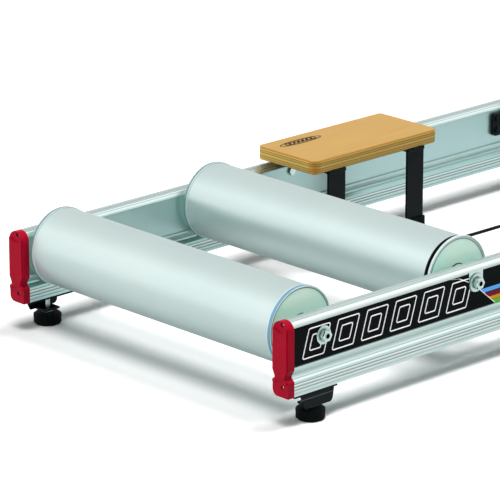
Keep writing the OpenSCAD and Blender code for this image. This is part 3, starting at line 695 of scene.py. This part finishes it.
class Workshop:
    """Keeps the materials, makes meshes into pieces and hands pieces to their bodies.

    Attributes:
        effects: The shared shader groups.
        made: The materials by the name of their finish.
    """

    def __init__(self) -> None:
        """Builds the shared groups."""
        self.effects = Effects()
        self.made: dict[str, Material] = {}

    def material(self, finish: Finish) -> Material:
        """Returns a finish's material, built once."""
        if finish.name not in self.made:
            self.made[finish.name] = finish.build(self.effects)
        return self.made[finish.name]

    def coat(self, finish: Finish, *nodes: str) -> None:
        """Gives solids of the model a finish.

        Args:
            finish: The finish.
            *nodes: The solids' names, where {end} and {side} stand for every end and side.
        """
        places = [(end, side.word) for end in ENDS for side in Side]
        names = [node.format(end=end, side=side) for node in nodes for end, side in places]
        for name in dict.fromkeys(names):
            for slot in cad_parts[name].material_slots:
                slot.link = "OBJECT"
                slot.material = self.material(finish)
            LOG.info("solid %s: %s", name, finish.name)

    def piece(self, name: str, mesh: Mesh, finish: Finish, body: Optional[str],
              slot: str) -> bpy.types.Object:
        """Makes a mesh a piece of the object.

        Args:
            name: The piece's name.
            mesh: Its mesh, in the row frame.
            finish: Its finish.
            body: The body that it rides on, or None.
            slot: A material slot's name, which is not used.

        Returns:
            The piece's object.
        """
        mesh.name = name
        mesh.materials.clear()
        mesh.materials.append(self.material(finish))
        made = add_object(name, mesh)
        if body:
            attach(made, body)
        LOG.info("piece %s: %d faces, %s", name, len(mesh.polygons), finish.name)
        return made


class Pattern(Group):
    """A Geometry Nodes tree that makes one repeated or swept form."""

    def __init__(self, name: str, **inputs: Any) -> None:
        """Makes the tree with its inputs, each given by its default."""
        super().__init__(name, "Geometry", Geometry=None, Material=None, **inputs)

    def circle(self, sides: Any, radius: str) -> Any:
        """Returns a circle with a number of sides and the radius of a named input."""
        inputs = {"Resolution": sides, "Radius": self.given[radius]}
        return self.run("GeometryNodeCurvePrimitiveCircle", inputs)

    def sweep(self, path: Any, section: Any) -> Any:
        """Returns the mesh of a section that is drawn along a path."""
        return self.run("GeometryNodeCurveToMesh", {"Curve": path, "Profile Curve": section})

    def repeat(self, form: Any, axis: int) -> "Pattern":
        """Sets Count copies of a form along an axis, each a Pitch further, and closes."""
        step = self.run("ShaderNodeCombineXYZ", {axis: self.given["Pitch"]})
        inputs = {"Count": self.given["Count"], "Offset": step}
        return self.scatter(form, self.run("GeometryNodeMeshLine", inputs, mode="OFFSET"))

    def scatter(self, form: Any, points: Any) -> "Pattern":
        """Sets a copy of a form on each point and closes the pattern."""
        inputs = {"Points": points, "Instance": form}
        return self.close(self.run("GeometryNodeInstanceOnPoints", inputs))

    def close(self, geometry: Any) -> "Pattern":
        """Ends the tree in real meshes with their material.

        Args:
            geometry: The last geometry's socket.

        Returns:
            The finished pattern.
        """
        real = self.run("GeometryNodeRealizeInstances", {0: geometry})
        inputs = {"Geometry": real, "Material": self.given["Material"]}
        self.end("Geometry", Geometry=self.run("GeometryNodeSetMaterial", inputs))
        return self

    def grow(self, material: Material, place: Matrix, sizes: Values,
             base: Optional[Mesh] = None) -> Mesh:
        """Evaluates the tree and returns a plain mesh.

        Args:
            material: The material that it sets.
            place: Where the form goes in the row frame.
            sizes: The tree's inputs by name.
            base: The mesh that the tree starts from, if it needs one.

        Returns:
            The evaluated mesh, placed.
        """
        holder = add_object("grow", base or bpy.data.meshes.new("seed"))
        modifier = holder.modifiers.new("pattern", "NODES")
        modifier.node_group = self.tree
        values = {**sizes, "Material": material}
        for item in self.tree.interface.items_tree:
            if item.in_out == "INPUT" and item.name in values:
                modifier[item.identifier] = values[item.name]
        depsgraph = bpy.context.evaluated_depsgraph_get()
        evaluated = holder.evaluated_get(depsgraph)
        result = bpy.data.meshes.new_from_object(evaluated, depsgraph=depsgraph)
        holder.modifiers.remove(modifier)
        bpy.data.objects.remove(holder)
        result.transform(place)
        return result


def thread_pattern() -> Pattern:
    """Builds ridges on a post along Z, one above the other."""
    made = Pattern("thread_ridges", Count=8, Pitch=0.00125, Radius=0.004, Depth=0.0003)
    return made.repeat(made.sweep(made.circle(28, "Radius"), made.circle(4, "Depth")), 2)


def frames_pattern() -> Pattern:
    """Builds a row of slanted open frames, one inside the other, for the prints.

    Returns:
        The pattern.
    """
    made = Pattern("slanted_frames", Count=6, Pitch=0.05, Width=0.03, Height=0.035, Slant=0.01,
                   Line=0.0013, Inset=0.008, Round=0.002)
    given, quad = made.given, "GeometryNodeCurvePrimitiveQuadrilateral"
    both = made.node("GeometryNodeJoinGeometry")
    for insets in (0.0, 2.0):
        width, height = (made.math("MULTIPLY_ADD", given["Inset"], -insets, given[size])
                         for size in ("Width", "Height"))
        lean = made.math("DIVIDE", made.times(given["Slant"], height), given["Height"])
        inputs = {"Width": width, "Height": height, "Offset": lean}
        made.fill(both, {0: made.run(quad, inputs, mode="PARALLELOGRAM")})
    inputs = {"Curve": both.outputs[0], "Radius": given["Round"], "Count": 4}
    rounded = made.run("GeometryNodeFilletCurve", inputs, mode="POLY")
    line = made.run(quad, {"Width": given["Line"], "Height": 0.00006})
    return made.repeat(made.sweep(rounded, line), 0)


def ribs_pattern() -> Pattern:
    """Builds upright ribs on a circle, for the grip of the rubber feet.

    Returns:
        The pattern.
    """
    made = Pattern("grip_ribs", Count=24, Circle=0.0172, Width=0.001, Height=0.005)
    inputs = {"Vertices": 8, "Side Segments": 1, "Fill Segments": 1,
              "Radius": made.given["Width"], "Depth": made.given["Height"]}
    rib = made.run("GeometryNodeMeshCylinder", inputs, "Mesh")
    inputs = {"Vertices": made.given["Count"], "Radius": made.given["Circle"]}
    return made.scatter(rib, made.run("GeometryNodeMeshCircle", inputs))


def cord_pattern() -> Pattern:
    """Builds a round cord along the edges of the mesh that the tree starts from."""
    made = Pattern("round_cord", Radius=0.002, Sides=12)
    path = made.run("GeometryNodeMeshToCurve", {"Mesh": made.given["Geometry"]})
    return made.close(made.sweep(path, made.circle(made.given["Sides"], "Radius")))


def slab(outline: Sequence[Point], shift: Point) -> Mesh:
    """Makes a thin plate.

    Args:
        outline: The corners of one face.
        shift: The way from that face to the other.

    Returns:
        The plate's mesh.
    """
    shape = bmesh.new()
    back = [shape.verts.new(corner) for corner in outline]
    front = [shape.verts.new([a + b for a, b in zip(corner, shift)]) for corner in outline]
    shape.faces.new(front)
    shape.faces.new(back[::-1])
    for index in range(len(back)):
        after = (index + 1) % len(back)
        shape.faces.new((back[index], back[after], front[after], front[index]))
    bmesh.ops.recalc_face_normals(shape, faces=shape.faces[:])
    mesh = bpy.data.meshes.new("slab")
    shape.to_mesh(mesh)
    shape.free()
    return mesh


# Finishes that the solids and the pieces use
# Share of their own colour that the light inks give off as painted light
INK_PAINTED_GLOW = 0.3
FILM_BLACK = Film("film_black", Ink.BLACK.value, 0.4, shine=0.04)
FILM_WHITE = Film("film_white", Ink.WHITE.value, 0.35, glow=INK_PAINTED_GLOW)
LABEL_DARK = Film("label_dark", paint(34, 22, 12), 0.4, shine=0.2)
LABEL_PALE = Film("label_pale", paint(190, 146, 78), 0.4, shine=0.2)
# Rails with painted shade in their grooves and corners
RAIL_ALLOY = RailMetal(
    "anodised_rail", paint(210, 227, 224), 0.32, 0.9, second=paint(222, 236, 233),
    stretch=(3.0, 1500.0, 1500.0), patch=0.25, crevice=(0.003, 0.6),
)
DRUM_ALLOY = DrawnMetal(
    "anodised_drum", paint(204, 222, 220), 0.46, 0.7, second=paint(214, 228, 225),
    stretch=(12.0, 1800.0, 12.0), spread=0.04, depth=0.000004, patch=0.18,
)
# Caps with lighter rubbed edges, partly painted glints
CAP_RED = Coated(
    "red_cap", paint(190, 4, 44), 0.42, shine=0.1, worn=paint(236, 66, 92), wear=0.2, edge=0.0009,
    skin=1400.0, depth=0.00002,
)
BLACK_COAT = Coated("black_coat", paint(2, 11, 14), 0.34, shine=0.13)
# Brackets with a painted highlight line along their bend
BRACKET_COAT = replace(BLACK_COAT, name="bracket_coat", bend=0.0312)
FOOT_RUBBER = Coated(
    "foot_rubber", paint(4, 8, 10), 0.6, shine=0.07, worn=paint(40, 46, 48), skin=700.0,
    depth=0.00004,
)
BELT_RUBBER = Coated(
    "belt_rubber", paint(10, 14, 16), 0.5, shine=0.12, wear=0.0, edge=0.0004, skin=1200.0,
)
# Zinc parts with painted shade in the crevices round nuts and washers
ZINC = DrawnMetal("zinc_plate", paint(216, 238, 234), 0.18, 1.0, spread=0.06, crevice=(0.006, 1.0))
# Pure white zinc, a painted highlight on the recessed screw heads
SCREW_ZINC_HIGHLIGHT = replace(ZINC, name="screw_zinc", colour=paint(255, 255, 255), crevice=(0.0, 0.0))
PLY = BirchPly("birch_ply", paint(199, 153, 79), 0.45, shine=0.15)
# Cup faces that glow as painted light, with a painted rim highlight and lip reflections
CUP_PLATE = SpunSteel(
    "cup_plate", paint(210, 255, 240), 0.34, 0.3, pitch=0.0012, dark=paint(26, 30, 26),
    rim=0.0489, lips=(0.2225, -0.212), cut=0.12, glow=0.16,
)
PULLEY_PLATE = replace(CUP_PLATE, groove=(-0.2164, -0.2085), lips=(0.2225,))
# The dark ring is painted shade in the axle's hex socket
AXLE_STEEL = SpunSteel(
    "axle", paint(224, 238, 236), 0.22, 1.0, second=paint(236, 242, 236), shade=(0.0, 0.0031),
    dark=paint(8, 12, 14),
)
BEARING_STEEL = SpunSteel(
    "bearing", paint(190, 190, 180), 0.22, 1.0, second=paint(208, 200, 176), shade=(0.0075, 0.0112),
)


@dataclass
class Assembly:
    """A part of the rollers.

    Attributes:
        shop: The workshop that dresses it.
    """

    shop: Workshop


@dataclass
class SideRails(Assembly):
    """Side rails with their caps, screws and printed film.

    Attributes:
        web: Distance of the recessed web's outer face from the middle plane.
        edges: Lower and upper edge of the film.
        thick: Thickness of the film and of the ink on it.
        ends: X of the film's rear end, and of its front end below and above.
        stripe_ends: X of the stripes' front end below and above.
        bend: X and Z of the curved line that ends the dark field, from top to bottom.
        line: Width of that line, and how far under it the stripes start.
        stripes: Ink, lower and upper edge of each stripe.
        first: X and Z of the first frame's middle.
        frames: Sizes of the slanted frames.
    """

    web: float = 0.249
    edges: Pair = (0.0752, 0.1228)
    thick: Pair = (0.00012, 0.00003)
    ends: Point = (-0.6698, 0.178, 0.19)
    stripe_ends: Pair = (0.174, 0.176)
    bend: tuple[Pair, ...] = (
        (-0.4059, 0.1228), (-0.3899, 0.1202), (-0.3729, 0.1118), (-0.3526, 0.0979),
        (-0.3254, 0.0752),
    )
    line: Pair = (0.0022, 0.0012)
    stripes: tuple[tuple[Ink, float, float], ...] = (
        (Ink.BLUE, 0.0928, 0.0980), (Ink.CLARET, 0.0858, 0.0918),
        (Ink.AMBER, 0.0812, 0.0854), (Ink.GREEN, 0.0752, 0.0808),
    )
    first: Pair = (-0.6315, 0.0990)
    frames: Values = sizes(Count=6, Pitch=0.0485, Width=0.035, Height=0.0355, Slant=0.011,
                           Line=0.0016, Inset=0.0085, Round=0.002)

    def dress(self) -> None:
        """Gives the rails, caps and screws their finishes and adds the film."""
        self.shop.coat(RAIL_ALLOY, "rail_{end}_{side}")
        self.shop.coat(CAP_RED, "end_cap_{end}_{side}")
        self.shop.coat(SCREW_ZINC_HIGHLIGHT, "frame_screws_{end}")
        for side in Side:
            self.film(side)

    def edge_at(self, z: float) -> float:
        """Returns the X where a stripe starts.

        Args:
            z: The height of the place.

        Returns:
            The X under the curved line.
        """
        for (x0, z0), (x1, z1) in zip(self.bend, self.bend[1:]):
            if z1 <= z <= z0:
                return x0 + (x1 - x0) * (z0 - z) / (z0 - z1) + self.line[1]
        return self.bend[-1][0] + self.line[1]

    def film(self, side: Side) -> None:
        """Adds the dark film with its generic print to one rear rail.

        Args:
            side: The rail's side.
        """
        (low, high), (rear, below, above) = self.edges, self.ends
        outline = [(rear, low), (below, low), (above, high), (rear, high)]
        sheets = [("rail_film", FILM_BLACK, outline, self.web, self.thick[0])]
        y, ink_thick = self.web + self.thick[0], self.thick[1]
        below, above = self.stripe_ends
        for ink, z0, z1 in self.stripes:
            outline = [(self.edge_at(z0), z0), (below, z0), (above, z1), (self.edge_at(z1), z1)]
            name = ink.name.lower()
            finish = Film(f"film_{name}", ink.value, 0.34, shine=0.1, glow=INK_PAINTED_GLOW)
            sheets.append((f"film_stripe_{name}", finish, outline, y, ink_thick))
        outline = [(x + self.line[0], z) for x, z in self.bend[::-1]] + list(self.bend)
        sheets.append(("film_line", FILM_WHITE, outline, y, ink_thick))
        made = []
        for name, finish, outline, back, thick in sheets:
            base = [(x, side.value * back, z) for x, z in outline]
            made.append((name, finish, slab(base, (0.0, side.value * thick, 0.0))))
        turn = Matrix.Rotation(math.pi / 2, 4, "X")
        place = Matrix.Translation((self.first[0], side.value * y, self.first[1])) @ turn
        mesh = frames_pattern().grow(self.shop.material(FILM_WHITE), place, self.frames)
        for name, finish, mesh in [*made, ("film_frames", FILM_WHITE, mesh)]:
            self.shop.piece(f"{name}_{side.word}", mesh, finish, REAR_BODY, "black_steel")


@dataclass
class Drums(Assembly):
    """The three drums with their cups, bearings, axles and fixings.

    Attributes:
        axes: X and Z of each drum's axis.
    """

    axes: Values = sizes(**AXES)

    def dress(self) -> None:
        """Gives every solid of the drums its finish."""
        for drum in self.axes:
            cup, right = (CUP_PLATE, "cup") if drum == "rear" else (PULLEY_PLATE, "pulley")
            self.shop.coat(DRUM_ALLOY, f"tube_{drum}")
            cup = self.centred(cup, drum)
            self.shop.coat(cup, f"cup_{drum}_left", f"{right}_{drum}_right")
            self.shop.coat(self.centred(BEARING_STEEL, drum), f"bearings_{drum}")
            self.shop.coat(self.centred(AXLE_STEEL, drum), f"axle_{drum}")
            self.shop.coat(ZINC, f"axle_fixings_{drum}")
        self.shop.coat(ZINC, "keeper_plates")

    def centred(self, finish: SpunSteel, drum: str) -> SpunSteel:
        """Returns a finish with its rings round a drum's axis."""
        x, z = self.axes[drum]
        return replace(finish, name=f"{finish.name}_{drum}", centre=(x, 0.0, z))


@dataclass
class Belt(Assembly):
    """The round belt that turns the front drum.

    Attributes:
        y: Its place across the rollers.
        pitch: Radius of its centre line on the drums.
        cord: Radius and sides of the cord.
        turns: Steps round a drum.
        runs: Steps between the drums.
        hinge: X and Z of the folding line, which is not used.
        reach: A distance from the folding line, which is not used.
    """

    y: float = -0.2129
    pitch: float = 0.0456
    cord: Values = sizes(Radius=0.0021, Sides=14)
    turns: int = 40
    runs: int = 120
    hinge: Pair = (0.228, 0.1415)
    reach: float = 0.07

    def path(self) -> Mesh:
        """Makes the belt's centre line as a closed chain of edges.

        Returns:
            A mesh of points and edges.
        """
        (x0, z0), (x1, z1) = AXES["drive"], AXES["front"]
        tilt = math.atan2(z1 - z0, x1 - x0)
        run = Vector((x1 - x0, 0.0, z1 - z0))
        points: list[Point] = []
        for x, z, way in ((x0, z0, 1), (x1, z1, -1)):
            for index in range(self.turns + 1):
                angle = tilt + way * math.pi / 2 + math.pi * index / self.turns
                points.append((x + self.pitch * math.cos(angle), self.y,
                               z + self.pitch * math.sin(angle)))
            start = Vector(points[-1])
            points += [tuple(start + run * (way * index / self.runs))
                       for index in range(1, self.runs)]
        mesh = bpy.data.meshes.new("belt_path")
        count = len(points)
        mesh.from_pydata(points, [(i, (i + 1) % count) for i in range(count)], [])
        return mesh

    def dress(self) -> None:
        """Adds the belt and hides the model's belt."""
        material = self.shop.material(BELT_RUBBER)
        mesh = cord_pattern().grow(material, Matrix.Identity(4), self.cord, self.path())
        for polygon in mesh.polygons:
            polygon.use_smooth = True
        belt = self.shop.piece("round_belt", mesh, BELT_RUBBER, None, "belt_black")
        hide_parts("belt")
        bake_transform(belt)
        self.shop.coat(BELT_RUBBER, "belt")


@dataclass
class Feet(Assembly):
    """Brackets, threaded feet and the plain middle feet.

    Attributes:
        thread_low: Height of the thread's lowest ridge.
        thread: Sizes of the thread's ridges.
        grip_middle: Height of the middle of the pads' ribs.
        grip: Sizes of the ribs.
    """

    thread_low: float = 0.0222
    thread: Values = sizes(Count=9, Pitch=0.00125, Radius=0.0032, Depth=0.0003)
    grip_middle: float = 0.0103
    grip: Values = sizes(Count=30, Circle=0.017, Width=0.0009, Height=0.0050)

    def dress(self) -> None:
        """Gives the feet their finishes and adds threads and grip ribs."""
        added = (
            ("thread", thread_pattern(), self.thread_low, self.thread, ZINC, "fastener_zinc"),
            ("grip", ribs_pattern(), self.grip_middle, self.grip, FOOT_RUBBER, "foot_rubber"),
        )
        self.shop.coat(BRACKET_COAT, "foot_bracket_{end}_{side}")
        self.shop.coat(FOOT_RUBBER, "foot_pad_{end}_{side}", "mid_pad_{side}")
        self.shop.coat(ZINC, "foot_stud_{end}_{side}")
        self.shop.coat(BLACK_COAT, "mid_bracket_{side}")
        for tag in (f"{end}_{side.word}" for end in ENDS for side in Side):
            low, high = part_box(f"foot_pad_{tag}")
            for name, pattern, z, sizes, finish, slot in added:
                place = Matrix.Translation(((low.x + high.x) / 2, (low.y + high.y) / 2, z))
                mesh = pattern.grow(self.shop.material(finish), place, sizes)
                self.shop.piece(f"foot_{name}_{tag}", mesh, finish, f"foot_{tag}", slot)


@dataclass
class Step(Assembly):
    """The plywood step on its two straps, with a label that bears no lettering.

    Attributes:
        centre: X and Y of the oval label.
        half: Half length and half width of the label.
        ring: Width of its dark ring.
        corners: Number of corners of the oval.
        top: Height of the board.
        layer: Thickness of the ring and of the field.
        frames: Sizes of the small frames in it.
    """

    centre: Pair = (-0.1969, 0.2251)
    half: Pair = (0.0375, 0.0085)
    ring: float = 0.0023
    corners: int = 64
    top: float = 0.1555
    layer: float = 0.0001
    frames: Values = sizes(Count=7, Pitch=0.0078, Width=0.0056, Height=0.0078, Slant=0.002,
                           Line=0.0017, Inset=0.0, Round=0.0006)

    def dress(self) -> None:
        """Gives the step its finishes and adds the label."""
        self.shop.coat(PLY, "step_board")
        self.shop.coat(BLACK_COAT, "step_strap_{end}")
        self.shop.coat(FOOT_RUBBER, "step_boots")
        self.shop.coat(ZINC, "step_fixings")
        x, y = self.centre
        parts = (("ring", 0.0, 0.0, LABEL_DARK),
                 ("field", self.ring, self.layer / 2, LABEL_PALE))
        for name, inset, lift, finish in parts:
            long, wide = (half - inset for half in self.half)
            rim = []
            for index in range(self.corners):
                angle = 2 * math.pi * index / self.corners
                rim.append((x + long * math.cos(angle), y + wide * math.sin(angle),
                            self.top + lift))
            mesh = slab(rim, (0.0, 0.0, self.layer))
            self.shop.piece(f"step_label_{name}", mesh, finish, REAR_BODY, "birch_ply")
        back = (self.frames["Count"] - 1) / 2 * self.frames["Pitch"]
        place = Matrix.Translation((x - back, y, self.top + 2 * self.layer))
        mesh = frames_pattern().grow(self.shop.material(LABEL_DARK), place, self.frames)
        self.shop.piece("step_label_frames", mesh, LABEL_DARK, REAR_BODY, "birch_ply")


@dataclass
class Hinges(Assembly):
    """The folding hinges with their pins and screws."""

    def dress(self) -> None:
        """Gives the hinges their finishes."""
        self.shop.coat(BLACK_COAT, "hinge_{end}_{side}", "hinge_screws_{end}")
        self.shop.coat(ZINC, "hinge_pins")


@dataclass(frozen=True)
class Lamp:
    """A far, soft lamp that either lights dull surfaces or shows in shiny ones.

    Attributes:
        name: Its name.
        power: Its strength in watts per square metre.
        spread: Its apparent size in degrees.
        azimuth: Where it stands, in degrees from +X towards +Y.
        height: Degrees above the floor.
        mirrored: Whether it shows in shiny surfaces.
    """

    name: str
    power: float
    spread: float
    azimuth: float
    height: float
    mirrored: bool = False

    def place(self) -> None:
        """Adds the lamp, turned towards the middle."""
        data = bpy.data.lights.new(self.name, "SUN")
        data.energy = self.power
        data.angle = math.radians(self.spread)
        made = add_object(self.name, data)
        across, upward = math.radians(self.azimuth), math.radians(self.height)
        flat = math.cos(upward)
        towards = Vector((flat * math.cos(across), flat * math.sin(across), math.sin(upward)))
        made.rotation_euler = towards.to_track_quat("Z", "Y").to_euler()
        made.visible_diffuse = not self.mirrored
        made.visible_glossy = self.mirrored


@dataclass
class Studio:
    """Floor, soft light and camera.

    Attributes:
        eye: Where the camera stands.
        forward: Where it looks.
        up: Its upward direction.
        lens: Its focal length and the width of its sensor, in millimetres.
        clip: Nearest and farthest point that it sees.
        sky: Strength of the even sky for dull surfaces, shiny ones and the camera.
        floor_size: Half the floor's width, and how far it lies under the feet.
        floor_white: How white dull surfaces, shiny ones and the camera see it.
        floor_red: How red they see it.
        floor_glow: How much it glows for them.
        lamps: The lamps.
    """

    eye: Point = (-3.54823, -3.21257, 1.55385)
    forward: Point = (0.65467, 0.69060, -0.30736)
    up: Point = (0.21145, 0.22306, 0.95158)
    lens: Pair = (270.62, 36.0)
    clip: Pair = (0.05, 100.0)
    sky: Point = (0.1, 0.78, 1.0)
    floor_size: Pair = (20.0, 0.0002)
    floor_white: Point = (0.5, 0.79, 1.17)
    floor_red: Point = (0.5, 0.7426, 1.17)
    floor_glow: Point = (0.0, 0.0, 0.03)
    lamps: tuple[Lamp, ...] = (
        Lamp("overhead_rear", 1.5, 22.0, 219.3, 74.1),
        Lamp("overhead_front", 1.5, 22.0, 333.4, 68.1),
        Lamp("left", 1.04, 30.0, 182.0, 14.0),
        Lamp("edge", 0.27, 40.0, 336.0, 44.0, mirrored=True),
        Lamp("sheen", 1.05, 45.0, 165.0, 44.0, mirrored=True),
        Lamp("low", 0.2, 26.0, 136.0, 2.0, mirrored=True),
    )

    def camera(self) -> None:
        """Adds the camera at the photograph's angle."""
        data = bpy.data.cameras.new("camera")
        data.sensor_fit = "HORIZONTAL"
        data.lens, data.sensor_width = self.lens
        data.clip_start, data.clip_end = self.clip
        forward = Vector(self.forward).normalized()
        right = forward.cross(Vector(self.up)).normalized()
        upward = right.cross(forward)
        turn = Matrix((right, upward, -forward)).transposed().to_4x4()
        made = add_object("camera", data)
        made.matrix_world = Matrix.Translation(self.eye) @ turn
        bpy.context.scene.camera = made

    def floor(self) -> None:
        """Adds the pale floor, which keeps the shadow and shows as white."""
        shape = bmesh.new()
        half, drop = self.floor_size
        bmesh.ops.create_grid(shape, x_segments=1, y_segments=1, size=half)
        mesh = bpy.data.meshes.new("floor")
        shape.to_mesh(mesh)
        shape.free()
        mesh.transform(Matrix.Translation((0, 0, -drop)))
        material = bpy.data.materials.new("floor_white")
        material.use_nodes = True
        graph, nodes = Graph(material.node_tree), material.node_tree.nodes
        nodes.remove(nodes["Principled BSDF"])
        red, tone, glow = (self.by_ray(graph, levels) for levels in
                           (self.floor_red, self.floor_white, self.floor_glow))
        colour = graph.run("ShaderNodeCombineXYZ", {0: red, 1: tone, 2: tone})
        paper = graph.run("ShaderNodeBsdfDiffuse", {"Color": colour})
        glow = graph.run("ShaderNodeEmission", {"Strength": glow})
        both = graph.run("ShaderNodeAddShader", {0: paper, 1: glow})
        graph.fill(nodes["Material Output"], {"Surface": both})
        mesh.materials.append(material)
        add_object("floor", mesh)

    @staticmethod
    def by_ray(graph: Graph, levels: Point) -> Any:
        """Returns the level for a dull surface, a shiny one or the camera."""
        rays = graph.node("ShaderNodeLightPath").outputs
        level = graph.span(rays["Is Glossy Ray"], 0.0, 1.0, *levels[:2])
        return graph.span(rays["Is Camera Ray"], 0.0, 1.0, level, levels[2])

    def light(self) -> None:
        """Adds the soft lamps and an even sky."""
        world = bpy.data.worlds.new("sky")
        world.use_nodes = True
        graph = Graph(world.node_tree)
        inputs = {"Color": Ink.WHITE.value, "Strength": self.by_ray(graph, self.sky)}
        graph.fill(world.node_tree.nodes["Background"], inputs)
        bpy.context.scene.world = world
        for lamp in self.lamps:
            lamp.place()
        bpy.context.scene.view_settings.view_transform = "Standard"

    def build(self) -> None:
        """Adds camera, floor and light."""
        self.camera()
        self.floor()
        self.light()


def main() -> None:
    """Builds every sub-assembly in order."""
    logging.basicConfig(level=logging.INFO, format="%(name)s: %(message)s")
    shop = Workshop()
    Studio().build()
    for part in (SideRails, Drums, Belt, Feet, Step, Hinges):
        part(shop).dress()


if __name__ == "__main__":
    main()
